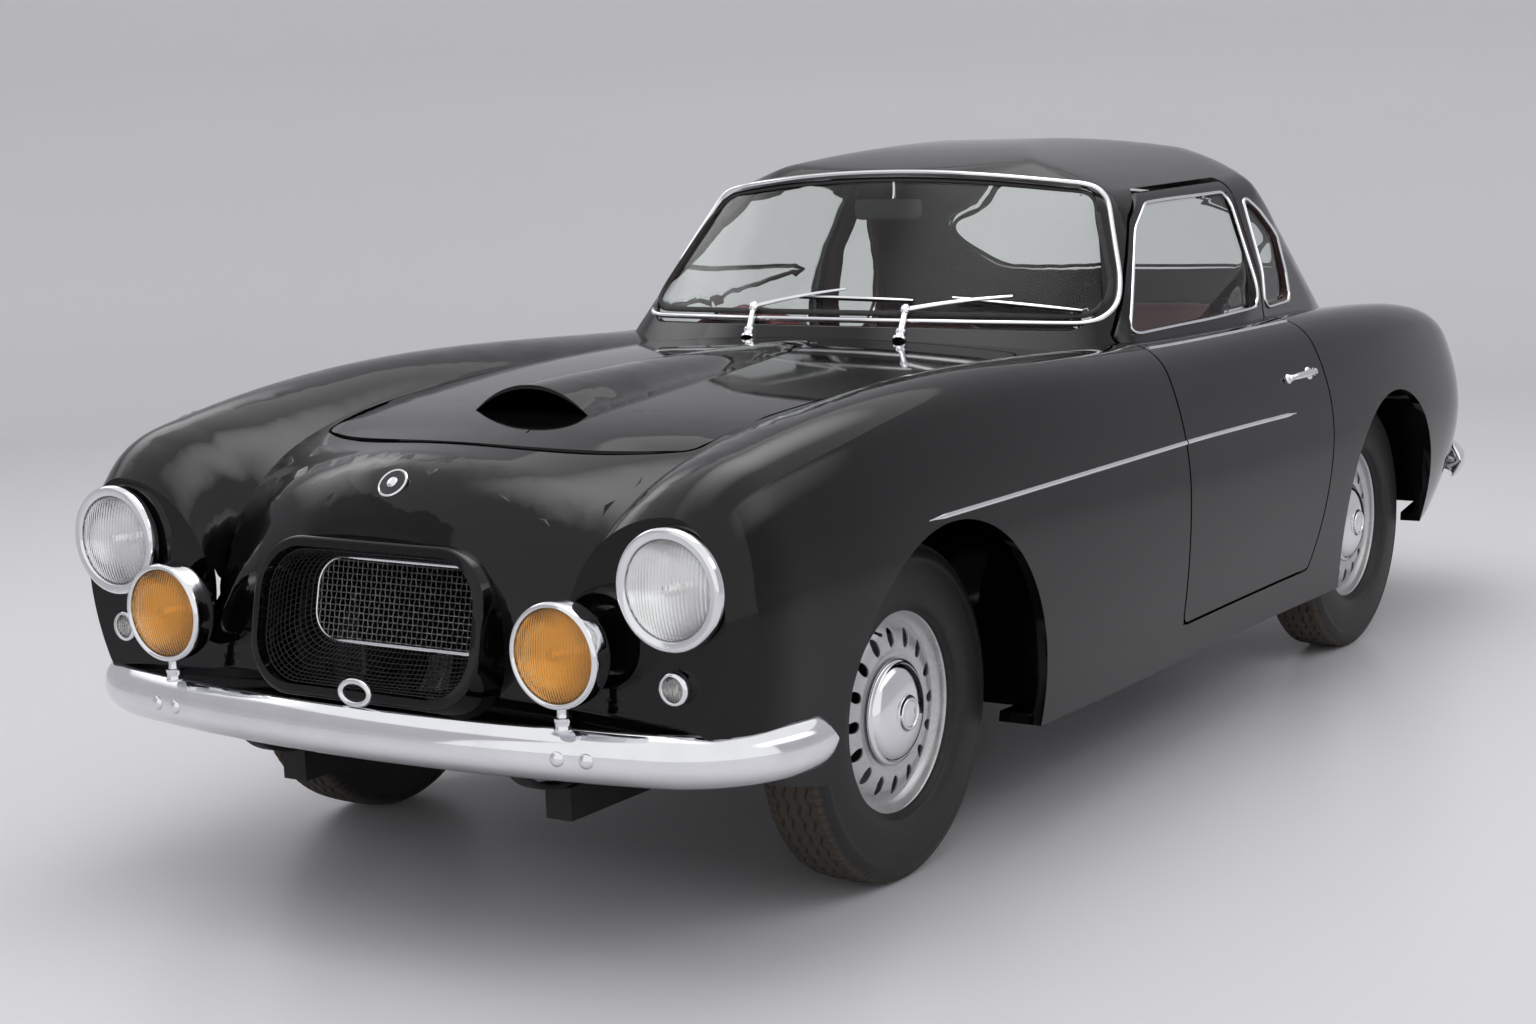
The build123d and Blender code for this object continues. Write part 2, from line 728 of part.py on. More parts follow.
with BuildPart() as glazing:
    add(cabin_glass)
    split(bisect_by=Plane.XY.offset(belt_z), keep=Keep.TOP)
    add(cabin_frame, mode=Mode.SUBTRACT)
with BuildPart() as windscreen:
    add(glazing.part)
    extrude(windscreen_view(-seat_gap), amount=900, mode=Mode.INTERSECT)
write(windscreen.part, "windscreen")
with BuildPart() as rear_window:
    add(glazing.part)
    extrude(back_window_view(-seat_gap).moved(Location((-2200, 0, 0))), amount=1250, mode=Mode.INTERSECT)
write(rear_window.part, "rear_window")
with BuildPart() as quarter_glass:
    add(glazing.part)
    extrude(quarter_window(-seat_gap), amount=-across, mode=Mode.INTERSECT)
write(both_sides(quarter_glass.part), "quarter_windows")
with BuildPart() as door_glass:
    add(glazing.part)
    extrude(door_window(-seat_gap), amount=-across, mode=Mode.INTERSECT)
pair(door_glass.part, "door_glass")

# Wheels: one profile turned about the axle, with a ring of vents, placed at the four corners
with BuildPart() as tyre:
    with BuildSketch(Plane.XZ):
        with BuildLine():
            half, bead = tyre_width / 2, rim_width / 2 - seat_gap
            shoulder = (tyre_radius - 10, tread_width / 2)
            side = (rim_radius + 48, half)
            foot = (rim_radius + 3, bead + 5)
            ThreePointArc((tyre_radius - 10, -tread_width / 2), (tyre_radius, 0), shoulder)
            ThreePointArc(shoulder, (tyre_radius - 42, half - 4), side)
            ThreePointArc(side, (rim_radius + 18, half - 5), foot)
            Polyline(foot, (rim_radius + 1, bead), (bead_radius + seat_gap, bead))
            Line((bead_radius + seat_gap, bead), (bead_radius + seat_gap, -bead))
            Polyline((bead_radius + seat_gap, -bead), (rim_radius + 1, -bead), (foot[0], -foot[1]))
            ThreePointArc((foot[0], -foot[1]), (rim_radius + 18, -half + 5), (side[0], -side[1]))
            ThreePointArc((side[0], -side[1]), (tyre_radius - 42, -half + 4), (shoulder[0], -shoulder[1]))
        make_face()
    revolve(axis=Axis.Z)
with BuildPart() as wheel:
    with BuildSketch(Plane.XZ):
        with BuildLine():
            edge, wall = rim_width / 2, rim_wall
            Polyline(
                (bead_radius, edge), (rim_radius, edge), (rim_radius, edge + wall), (bead_radius - wall, edge + wall),
                (bead_radius - wall, 30), (disc_knee, 30), (disc_knee - 24, 40), (hub_radius, 40), (hub_radius, 26),
                (0, 26), (0, 12), (stub_radius + run_gap, 12), (stub_radius + run_gap, -drum_depth),
                (drum_radius, -drum_depth), (drum_radius, 14), (disc_knee - 26, 32), (disc_knee - 2, 22),
                (bead_radius - wall, 22), (bead_radius - wall, -edge - wall), (rim_radius, -edge - wall),
                (rim_radius, -edge), (bead_radius, -edge), (bead_radius, edge),
            )
        make_face()
    revolve(axis=Axis.Z)
    with BuildSketch(Plane.XY.offset(15)):
        with PolarLocations(vent_ring_radius, vent_count):
            SlotOverall(vent_length, vent_width, rotation=90)
    extrude(amount=40, mode=Mode.SUBTRACT)
with BuildPart() as hubcap:
    with BuildSketch(Plane.XZ):
        with BuildLine():
            Polyline((0, 40.3), (cap_radius, 40.3), (cap_radius, 46))
            Spline((cap_radius, 46), (cap_radius * 0.62, 66), (34, 74))
            Line((34, 74), (32, 80))
            Spline((32, 80), (18, 83), (0, 84), tangents=[(-1, 0.4), (-1, 0)])
            Line((0, 84), (0, 40.3))
        make_face()
    revolve(axis=Axis.Z)
for corner, (x, y) in wheel_places.items():
    out = Plane(origin=(x, y, tyre_radius), x_dir=(1, 0, 0), z_dir=(0, math.copysign(1, y), 0)).location
    write(tyre.part.moved(out), "tyre_" + corner)
    write(wheel.part.moved(out), "wheel_" + corner)
    write(hubcap.part.moved(out), "hubcap_" + corner)

# Front suspension: a crossmember over the rails, lower and upper arms, springs
with BuildPart() as front_suspension:
    with BuildSketch(Plane.XY.offset(rail_top_z + seat_gap)):
        with Locations((axle_front_x, 0)):
            Rectangle(110, 2 * (rail_y + rail_width / 2))
    extrude(amount=70)
    fillet(front_suspension.edges().filter_by(Axis.Y), radius=14)
    for side in (-1, 1):
        with BuildSketch(Plane.XY.offset(arm_low_z)):
            with BuildLine():
                eye = side * kingpin_y
                root = side * (rail_y + rail_width / 2 + seat_gap)
                x = axle_front_x
                outline = [(x - 120, root), (x + 120, root), (x + arm_tip, eye), (x - arm_tip, eye)]
                Polyline(*outline, close=True)
            make_face()
            with Locations((x, eye)):
                Circle(arm_tip)
        extrude(amount=arm_wall)
write(front_suspension.part, "front_suspension")
with BuildPart() as knuckle:
    with BuildSketch(Plane.XY.offset(arm_low_z + arm_wall + seat_gap)):
        with Locations((axle_front_x, kingpin_y)):
            Circle(kingpin_radius)
    extrude(amount=kingpin_length)
    with BuildSketch(Plane.XZ.offset(-kingpin_y)):
        with Locations((axle_front_x, tyre_radius)):
            Circle(stub_radius)
    extrude(amount=-(track_front / 2 - kingpin_y + 10))
    with BuildSketch(Plane.XZ.offset(-kingpin_y - kingpin_radius - 6)):
        with Locations((axle_front_x, tyre_radius)):
            Circle(drum_radius - 4)
    extrude(amount=-5)
pair(knuckle.part, "knuckle")

# Rear axle: tube, differential and shaft in one, hung on two leaf springs
with BuildPart() as rear_axle:
    with BuildSketch(Plane.XZ):
        with Locations((axle_rear_x, tyre_radius)):
            Circle(axle_tube_radius)
    extrude(amount=track_rear / 2 - drum_depth - 6, both=True)
    with BuildSketch(Plane.XZ):
        with Locations((axle_rear_x, tyre_radius)):
            Circle(stub_radius)
    extrude(amount=track_rear / 2 + 10, both=True)
    with BuildSketch(Plane.XY.offset(tyre_radius)):
        with BuildLine():
            Polyline((axle_rear_x, -120), (axle_rear_x, 120))
            ThreePointArc((axle_rear_x, 120), (axle_rear_x - diff_radius, 0), (axle_rear_x, -120))
        make_face()
    revolve(axis=Axis((axle_rear_x, 0, tyre_radius), (0, 1, 0)))
    shaft = Plane(origin=(axle_rear_x, 0, tyre_radius), x_dir=(0, 1, 0), z_dir=(1, 0, 0.01))
    with BuildSketch(shaft):
        Circle(shaft_radius)
    extrude(amount=engine_rear_x - axle_rear_x - 5)
    with BuildSketch(shaft.offset(diff_radius * 0.7)):
        Circle(shaft_radius + 24)
    extrude(amount=70, taper=12)
    for side in (-1, 1):
        with BuildSketch(Plane.XZ.offset(side * spring_y)):
            with BuildLine():
                low = tyre_radius - axle_tube_radius
                top = ThreePointArc(
                    (axle_rear_x - 540, low + 40), (axle_rear_x, low - 24),
                    (axle_rear_x + 520, floor_low_z - seat_gap),
                )
                bottom = ThreePointArc(
                    (axle_rear_x - 540, low + 32), (axle_rear_x, low - 50), (axle_rear_x + 520, floor_low_z - 9)
                )
                Line(top @ 0, bottom @ 0)
                Line(top @ 1, bottom @ 1)
            make_face()
        extrude(amount=25, both=True)
        with BuildSketch(Plane.XY.offset(low - 48)):
            with Locations((axle_rear_x, -side * spring_y)):
                Rectangle(90, 60)
        extrude(amount=60)
write(rear_axle.part, "rear_axle")

with BuildPart() as chassis_frame:
    for side in (-1, 1):
        with BuildSketch(Plane.XY.offset(rail_low_z)):
            with Locations((rail_rear_x, side * rail_y)):
                Rectangle(rail_front_x - rail_rear_x, rail_width, align=(Align.MIN, Align.CENTER))
        extrude(amount=rail_top_z - rail_low_z)
    for x in cross_places:
        with BuildSketch(Plane.XY.offset(rail_top_z)):
            with Locations((x, 0)):
                Rectangle(70, 2 * rail_y)
        extrude(amount=-cross_wall)
    with BuildSketch(Plane.XZ):
        with Locations((axle_rear_x, tyre_radius)):
            Circle(axle_tube_radius + 14)
    extrude(amount=across, both=True, mode=Mode.SUBTRACT)
write(chassis_frame.part, "chassis_frame")

with BuildPart() as engine:
    with BuildSketch(Plane.XY.offset(engine_low_z)):
        with Locations((engine_rear_x, 0)):
            Rectangle(
                engine_front_x - engine_rear_x, 2 * engine_half_width, align=(Align.MIN, Align.CENTER)
            )
    extrude(amount=engine_top_z - engine_low_z, taper=4)
    fillet(engine.edges().filter_by(Axis.X), radius=30)
    with BuildSketch(Plane.XY.offset(rail_top_z + seat_gap)):
        with Locations((engine_rear_x + 200, 0)):
            Rectangle(80, 2 * rail_y)
    extrude(amount=engine_low_z - rail_top_z + 30)
write(engine.part, "engine")



def bumper(front_x, tip_x, tip_y, bow_y, turn_x, way, arm_x):
    """A bowed blade with turned-back ends and its two arms; way is 1 at the nose and -1 at the tail."""
    with BuildPart() as blade:
        with BuildSketch(Plane.XY.offset(bumper_z - bumper_height / 2)) as plan:
            with BuildLine():
                bow = ThreePointArc((turn_x, -bow_y), (front_x, 0), (turn_x, bow_y))
                for end, out in ((0, -1), (1, 1)):
                    TangentArc(bow @ end, (tip_x, out * tip_y), tangent=(bow % end) * out)
                Line((tip_x, -tip_y), (tip_x, tip_y))
            make_face()
            offset(amount=-bumper_wall, mode=Mode.SUBTRACT)
            with Locations((tip_x, 0)):
                Rectangle(2.2 * bumper_wall, 2 * tip_y - 2 * bumper_wall, mode=Mode.SUBTRACT)
        extrude(amount=bumper_height)
        for side in (-1, 1):
            with BuildSketch(Plane.XY.offset(rail_top_z + seat_gap)):
                with Locations((arm_x - way * 80, side * rail_y)):
                    reach = abs(front_x - arm_x) + 80 - 34
                    Rectangle(reach, 44, align=(Align.MIN if way > 0 else Align.MAX, Align.CENTER))
            extrude(amount=bracket_wall)
            with BuildSketch(Plane.XY.offset(rail_top_z + seat_gap)):
                with Locations((front_x - way * (bumper_wall + 4), side * rail_y)):
                    Rectangle(30, 44, align=(Align.MAX if way > 0 else Align.MIN, Align.CENTER))
            extrude(amount=bumper_z - rail_top_z)
    return blade.part


nose_x, tail_x = overall_length / 2, -overall_length / 2
front_turn_x, rear_turn_x = nose_x - bumper_sweep, tail_x + rear_sweep
write(bumper(nose_x, bumper_tip_x, bumper_tip_y, bumper_bow_y, front_turn_x, 1, rail_front_x), "front_bumper")
write(bumper(tail_x, rear_tip_x, rear_tip_y, rear_bow_y, rear_turn_x, -1, rail_rear_x), "rear_bumper")


def lamp_part(lamp):
    """A lamp's bowl and rim turned about its own axis, with the lens seat open to the front."""
    with BuildPart() as body:
        with BuildSketch(Plane.XZ):
            with BuildLine():
                Polyline(
                    (0, -lamp.depth), (lamp.rim * 0.82, -lamp.depth),
                    (lamp.rim, -lamp.depth * 0.35), (lamp.rim, -6),
                    (lamp.rim - 6, 0), (lamp.lens + 3, 0), (lamp.lens + seat_gap, -6), (lamp.lens + seat_gap, -12),
                    (0, -12), (0, -lamp.depth),
                )
            make_face()
        revolve(axis=Axis.Z)
    return body.part


def lens_part(lamp):
    """The domed lens that fills a lamp's seat."""
    with BuildPart() as lens:
        with BuildSketch(Plane.XZ):
            with BuildLine():
                top = lamp.lens * 0.17
                Spline((0, top), (lamp.lens, -7), tangents=[(1, 0), (0.9, -0.5)])
                Polyline((lamp.lens, -7), (lamp.lens, -11.7), (0, -11.7), (0, top))
            make_face()
        revolve(axis=Axis.Z)
    return lens.part


def lamp_place(lamp, way=1):
    return Plane(origin=(lamp.x, lamp.y, lamp.z), x_dir=(0, 1, 0), z_dir=(way, 0, 0)).location


rimmed = ((headlamp, "headlamps", 1), (side_lamp, "side_lamps", 1), (tail_lamp, "tail_lamps", -1))
for lamp, name, way in rimmed:
    write(both_sides(lamp_part(lamp).moved(lamp_place(lamp, way))), name)
with BuildPart() as fog:
    add(lamp_part(fog_lamp).moved(lamp_place(fog_lamp)))
    with BuildSketch(Plane.XY.offset(bumper_z + bumper_height / 2 + seat_gap)):
        with Locations((fog_lamp.x - fog_lamp.depth * 0.42, fog_lamp.y)):
            Circle(11)
    extrude(amount=fog_lamp.z - fog_lamp.rim + 24 - bumper_z - bumper_height / 2)
write(both_sides(fog.part), "fog_lamps")
lenses = []
for lamp, way in ((headlamp, 1), (fog_lamp, 1), (side_lamp, 1), (tail_lamp, -1)):
    lens = lens_part(lamp).moved(lamp_place(lamp, way))
    lenses += [lens, mirror(lens, about=Plane.XZ)]
write(Compound(lenses[:4]), "lamp_lenses")
write(Compound(lenses[4:]), "small_lenses")

# Grille: a thin rim set back in the mouth, filled with a lattice of wires
with BuildPart() as grille:
    with BuildSketch(mouth_plane.offset(-grille_set)):
        for turn in (45, -45):
            with Locations([(i * grille_pitch, 0) for i in range(-grille_count, grille_count + 1)]):
                Rectangle(grille_wire, 500, rotation=turn)
        RectangleRounded(mouth_width - 16, mouth_height - 16, mouth_round - 8, mode=Mode.INTERSECT)
    extrude(amount=-grille_wire)
    with BuildSketch(mouth_plane.offset(-grille_set)):
        RectangleRounded(mouth_width - 2 * seat_gap, mouth_height - 2 * seat_gap, mouth_round - seat_gap)
        RectangleRounded(mouth_width - 20, mouth_height - 20, mouth_round - 10, mode=Mode.SUBTRACT)
    extrude(amount=-grille_wire)
write(grille.part, "grille")

# Exhaust and fuel tank under the floor
with BuildPart() as exhaust:
    with BuildLine() as run:
        FilletPolyline(
            (engine_rear_x + 80, -engine_half_width + 50, engine_low_z - seat_gap),
            (engine_rear_x + 80, -engine_half_width + 50, pipe_z + 20),
            (engine_rear_x - 150, pipe_y, pipe_z), (cross_places[3] - 110, pipe_y, pipe_z),
            (-overall_length / 2 + 70, pipe_y, pipe_z + 40), radius=60,
        )
    with BuildSketch(Plane(origin=run.line @ 0, z_dir=run.line % 0)):
        Circle(pipe_radius)
    sweep()
    with BuildSketch(Plane.YZ.offset(silencer_front_x)):
        with Locations((pipe_y, pipe_z)):
            Ellipse(silencer_width / 2, silencer_height / 2)
    extrude(amount=-silencer_length)
write(exhaust.part, "exhaust")
with BuildPart() as fuel_tank:
    with BuildSketch(Plane.XY.offset(rail_top_z + 8)):
        with Locations((-1590, 0)):
            RectangleRounded(360, 2 * (rail_y - 30), 40)
    extrude(amount=rear_floor_z - rail_top_z - 8 - seat_gap)
write(fuel_tank.part, "fuel_tank")

# Cabin: dashboard, seats, steering wheel and mirror
with BuildPart() as dashboard:
    with BuildSketch(Plane.XZ.offset(-dash_half_width)):
        with BuildLine():
            face = ThreePointArc(
                (dash_x + 20, dash_top_z - 190), (dash_x - 18, dash_top_z - 80), (dash_x + 12, dash_top_z - 8)
            )
            Polyline(
                face @ 1, (dash_x + 50, dash_top_z), (dash_x + dash_depth, dash_top_z),
                (dash_x + dash_depth, dash_top_z - 40), (dash_x + 60, dash_top_z - 190), face @ 0,
            )
        make_face()
    extrude(amount=2 * dash_half_width)
    with BuildSketch(Plane.XY.offset(dash_top_z - 60)):
        for side in (-1, 1):
            with Locations((dash_x + dash_depth - 25, side * 300)):
                reach = bulkhead_x - dash_x - dash_depth + 25 - seat_gap
                Rectangle(reach, 40, align=(Align.MIN, Align.CENTER))
    extrude(amount=30)
write(dashboard.part, "dashboard")
hand_plane = Plane(
    origin=wheel_centre, x_dir=(0, 1, 0),
    z_dir=(-math.cos(math.radians(wheel_tilt)), 0, math.sin(math.radians(wheel_tilt))),
)
with BuildPart() as steering_wheel:
    with BuildSketch(Plane.XZ):
        with Locations((hand_wheel_radius, 0)):
            Circle(hand_wheel_grip)
    revolve(axis=Axis.Z)
    with BuildSketch(Plane.XY.offset(-28)):
        Circle(26)
    extrude(amount=34)
    for turn in (30, 150, 270):
        with BuildSketch(Plane.XY.rotated((0, 0, turn)).offset(-6)):
            with Locations((10, 0)):
                Rectangle(hand_wheel_radius - 10, 16, align=(Align.MIN, Align.CENTER))
        extrude(amount=6)
write(steering_wheel.part.moved(hand_plane.location), "steering_wheel")
with BuildPart() as steering_column:
    with BuildSketch(hand_plane.offset(-28 - 5)):
        Circle(19)
    extrude(amount=-column_length)
    split(bisect_by=Plane.YZ.offset(bulkhead_x - seat_gap), keep=Keep.BOTTOM)
    with BuildSketch(Plane.XY.offset(dash_top_z - 190 - seat_gap)):
        with Locations((dash_x + 42, wheel_centre[1])):
            Rectangle(28, 40)
    extrude(amount=-62)
write(steering_column.part, "steering_column")


def seat(x, y, width, length, low, high, back_top, back_wall):
    """A seat as two plain closed forms: cushion and leaning back."""
    with BuildPart() as cushion:
        with BuildSketch(Plane.XY.offset(low)):
            with Locations((x, y)):
                RectangleRounded(length, width, 60, align=(Align.MAX, Align.CENTER))
        extrude(amount=high - low)
        fillet(cushion.faces().sort_by(Axis.Z)[-1].edges(), radius=35)
    with BuildPart() as back:
        with BuildSketch(Plane.XZ.offset(-y + width / 2)):
            with BuildLine():
                foot = x - length - seat_gap
                lean = (back_top - low) * 0.2
                Polyline(
                    (foot, low), (foot, high), (foot - lean, back_top), (foot - lean - back_wall * 0.7, back_top),
                    (foot - back_wall, high), (foot - back_wall, low), close=True,
                )
            make_face()
        extrude(amount=-width)
        fillet(back.faces().sort_by(Axis.Z)[-1].edges(), radius=back_wall * 0.22)
    return [cushion.part, back.part]


front_seats = seat(
    seat_front_x, seat_y, seat_width, cushion_length,
    cushion_low_z, cushion_high_z, seat_back_top_z, seat_back_wall,
)
write(Compound(front_seats + [mirror(piece, about=Plane.XZ) for piece in front_seats]), "front_seats")
rear_seats = seat(rear_seat_x, 0, 940, 230, rear_seat_low_z, rear_seat_high_z, 850, 60)
write(Compound(rear_seats), "rear_seat")
with BuildPart() as seat_frames:
    for side in (-1, 1):
        with BuildSketch(Plane.XY.offset(floor_low_z + plate_wall)):
            with Locations((seat_front_x - 40, side * seat_y)):
                Rectangle(cushion_length + 40, seat_width - 80, align=(Align.MAX, Align.CENTER))
            with Locations((seat_front_x - 70, side * seat_y)):
                hollow = (cushion_length - 20, seat_width - 160)
                Rectangle(*hollow, align=(Align.MAX, Align.CENTER), mode=Mode.SUBTRACT)
        extrude(amount=cushion_low_z - floor_low_z - plate_wall - seat_gap)
write(seat_frames.part, "seat_frames")
with BuildPart() as mirror_piece:
    with BuildSketch(Plane.YZ.offset(mirror_x)):
        with Locations((0, mirror_z)):
            SlotOverall(190, 52)
    extrude(amount=12)
    with BuildSketch(Plane.XY.offset(mirror_z)):
        with Locations((mirror_x - 24, 0)):
            Circle(5)
    extrude(amount=screen_high_z - seat_gap - mirror_z)
    with BuildSketch(Plane.XY.offset(mirror_z)):
        with Locations((mirror_x - 29, 0)):
            Rectangle(35, 10, align=(Align.MIN, Align.CENTER))
    extrude(amount=8)
write(mirror_piece.part, "mirror")
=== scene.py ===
import math

import bmesh
import bpy
import numpy as np
from mathutils import Matrix, Vector


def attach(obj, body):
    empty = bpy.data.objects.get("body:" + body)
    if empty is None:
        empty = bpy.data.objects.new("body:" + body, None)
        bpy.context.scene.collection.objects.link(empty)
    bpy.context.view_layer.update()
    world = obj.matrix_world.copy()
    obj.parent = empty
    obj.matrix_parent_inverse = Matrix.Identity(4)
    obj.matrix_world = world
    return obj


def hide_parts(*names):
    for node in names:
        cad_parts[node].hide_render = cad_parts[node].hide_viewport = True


bl_info = {
    "name": "Classic two-door coupe",
    "version": (1, 0, 0),
    "blender": (4, 5, 0),
    "location": "View3D > Sidebar > Coupe",
    "description": "Dresses the packed coupe: painted skin, chrome, glass, wheels and trimmed cabin",
    "category": "Object",
}

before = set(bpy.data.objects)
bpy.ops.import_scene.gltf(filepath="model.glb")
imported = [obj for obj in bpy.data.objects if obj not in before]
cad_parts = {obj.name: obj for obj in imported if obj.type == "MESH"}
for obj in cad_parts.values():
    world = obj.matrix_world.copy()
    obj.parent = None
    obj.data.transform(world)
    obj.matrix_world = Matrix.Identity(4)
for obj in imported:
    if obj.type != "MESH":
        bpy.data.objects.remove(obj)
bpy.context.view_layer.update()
FRONT_AXLE = 1.334
REAR_AXLE = -1.104
AXLE_HEIGHT = 0.343

# The photograph's camera: place in metres; yaw, pitch and roll in degrees; focal length and width in pixels
CAMERA_PLACE = (5.73509, 3.31480, 1.58113)
CAMERA_TURNS = (213.3619, -9.1782, -2.0247)
CAMERA_FOCAL = 2630.418
PHOTO_WIDTH = 1536


# ---------------------------------------------------------------- mesh helpers


def grid_faces(rows, columns, close_rows=False, close_columns=False, offset=0):
    """Quads of a rows by columns grid of points; each quad takes the next row and the next column."""
    r = np.arange(rows if close_rows else rows - 1)
    c = np.arange(columns if close_columns else columns - 1)
    r, c = np.meshgrid(r, c, indexing="ij")
    r1, c1 = (r + 1) % rows, (c + 1) % columns
    quads = np.stack([r * columns + c, r1 * columns + c, r1 * columns + c1, r * columns + c1], axis=-1)
    return quads.reshape(-1, 4) + offset


class Surface:
    """Gathers grids of points into one mesh, each grid with its own finish number."""

    def __init__(self):
        self.points, self.faces, self.finish, self.count = [], [], [], 0
        self.extra = []

    def grid(self, points, close_rows=False, close_columns=False, finish=0, extra=None):
        """A grid of points (rows, columns, 3) becomes quads; the edges that close are joined round."""
        rows, columns = points.shape[:2]
        self.faces.append(grid_faces(rows, columns, close_rows, close_columns, self.count))
        self.finish.append(np.full(len(self.faces[-1]), finish))
        self.points.append(points.reshape(-1, 3))
        values = np.broadcast_to(0.0 if extra is None else extra, (rows, columns))
        self.extra.append(values.reshape(-1))
        self.count += rows * columns
        return self

    def copies(self, change):
        """Adds the whole surface again, its points changed; its faces turn over if the change mirrors."""
        points = np.concatenate(self.points)
        moved = change(points)
        probe = change(np.array([[0, 0, 0], [1, 0, 0], [0, 1, 0], [0, 0, 1.0]]))
        flips = np.linalg.det(probe[1:] - probe[0]) < 0
        for faces, finish in list(zip(self.faces, self.finish)):
            turned = faces[:, ::-1] if flips else faces
            self.faces.append(turned + self.count)
            self.finish.append(finish)
        self.points.append(moved)
        self.extra.append(np.concatenate(self.extra))
        self.count += len(moved)
        return self


def make_piece(name, surface, materials, body, nodes=(), attribute=None, merge=2e-5, outward=True):
    """Puts a gathered surface into a mesh object that rides on a body of the frame."""
    mesh = bpy.data.meshes.new(name)
    points, faces = np.concatenate(surface.points), np.concatenate(surface.faces)
    mesh.vertices.add(len(points))
    mesh.vertices.foreach_set("co", points.astype(np.float32).ravel())
    mesh.loops.add(faces.size)
    mesh.loops.foreach_set("vertex_index", faces.astype(np.int32).ravel())
    mesh.polygons.add(len(faces))
    mesh.polygons.foreach_set("loop_start", np.arange(0, faces.size, 4, dtype=np.int32))
    mesh.polygons.foreach_set("material_index", np.concatenate(surface.finish).astype(np.int32))
    if attribute:
        layer = mesh.attributes.new(attribute, "FLOAT", "POINT")
        layer.data.foreach_set("value", np.concatenate(surface.extra).astype(np.float32))
    mesh.update(calc_edges=True)
    mesh.validate()
    work = bmesh.new()
    work.from_mesh(mesh)
    bmesh.ops.remove_doubles(work, verts=work.verts, dist=merge)
    bmesh.ops.dissolve_degenerate(work, edges=work.edges, dist=1e-6)
    if outward:
        bmesh.ops.recalc_face_normals(work, faces=work.faces)
    work.to_mesh(mesh)
    work.free()
    return finish_piece(name, mesh, materials, body, nodes)


def finish_piece(name, mesh, materials, body, nodes=(), sharp=40.0):
    """Gives a mesh its materials, smooth faces with sharp edges past an angle, and its place on a body."""
    for material in materials if isinstance(materials, (list, tuple)) else [materials]:
        mesh.materials.append(material)
    mesh.shade_smooth()
    if sharp:
        mesh.set_sharp_from_angle(angle=math.radians(sharp))
    piece = bpy.data.objects.new(name, mesh)
    bpy.context.scene.collection.objects.link(piece)
    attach(piece, body)
    if nodes:
        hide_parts(*([nodes] if isinstance(nodes, str) else nodes))
    return piece


def revolve(profile, centre, axis, turns=64, start=0.0):
    """A profile of (radius, height) rows turned about an axis: centre + height * axis + radius * ring."""
    profile = np.asarray(profile, float)
    axis = np.asarray(axis, float) / np.linalg.norm(axis)
    side = np.cross(axis, [0, 0, 1.0]) if abs(axis[2]) < 0.9 else np.cross(axis, [1.0, 0, 0])
    side /= np.linalg.norm(side)
    up = np.cross(side, axis)
    angle = start + np.linspace(0, 2 * math.pi, turns, endpoint=False)
    ring = np.cos(angle)[:, None] * side + np.sin(angle)[:, None] * up
    return (
        np.asarray(centre, float)
        + profile[None, :, 1, None] * axis
        + profile[None, :, 0, None] * ring[:, None, :]
    )


def along(path, profile, up=(0, 0, 1), close_path=False, twist=None, scale=None):
    """A flat profile carried along a path: point = path + a * side + b * up, where side is tangent x up."""
    path, profile = np.asarray(path, float), np.asarray(profile, float)
    if close_path:
        tangent = np.roll(path, -1, 0) - np.roll(path, 1, 0)
    else:
        tangent = np.gradient(path, axis=0)
    tangent /= np.linalg.norm(tangent, axis=1, keepdims=True)
    up = np.broadcast_to(np.asarray(up, float), path.shape)
    side = np.cross(tangent, up)
    side /= np.linalg.norm(side, axis=1, keepdims=True)
    top = np.cross(side, tangent)
    size = np.ones(len(path)) if scale is None else np.asarray(scale, float)
    if twist is not None:
        c, s = np.cos(twist)[:, None], np.sin(twist)[:, None]
        side, top = side * c + top * s, top * c - side * s
    return (
        path[:, None]
        + profile[None, :, 0, None] * side[:, None] * size[:, None, None]
        + profile[None, :, 1, None] * top[:, None] * size[:, None, None]
    )


def closed_tube(surface, grid, finish=0):
    """A tube grid whose columns close round, with each end drawn in to a point at its middle."""
    ends = [np.repeat(grid[i].mean(0)[None, None], grid.shape[1], 1) for i in (0, -1)]
    surface.grid(np.concatenate([ends[0], grid, ends[1]]), close_columns=True, finish=finish)
    return surface


def closed_ring(surface, grid, finish=0):
    """A grid that closes round both ways, such as a bead round a window."""
    return surface.grid(grid, close_rows=True, close_columns=True, finish=finish)


def circle(radius, count=12, squash=1.0):
    """Points of a circle, or of an ellipse where the second size is squashed."""
    a = np.linspace(0, 2 * math.pi, count, endpoint=False)
    return np.stack([radius * np.cos(a), radius * squash * np.sin(a)], axis=1)


def rounded_box(width, height, radius, steps=4):
    """Points of a rectangle with rounded corners, in order round it."""
    rows = []
    for k, (sx, sy) in enumerate(((1, 1), (-1, 1), (-1, -1), (1, -1))):
        a = np.linspace(k * math.pi / 2, (k + 1) * math.pi / 2, steps)
        across, up = sx * (width / 2 - radius), sy * (height / 2 - radius)
        rows.append(np.stack([across + radius * np.cos(a), up + radius * np.sin(a)], axis=1))
    return np.concatenate(rows)


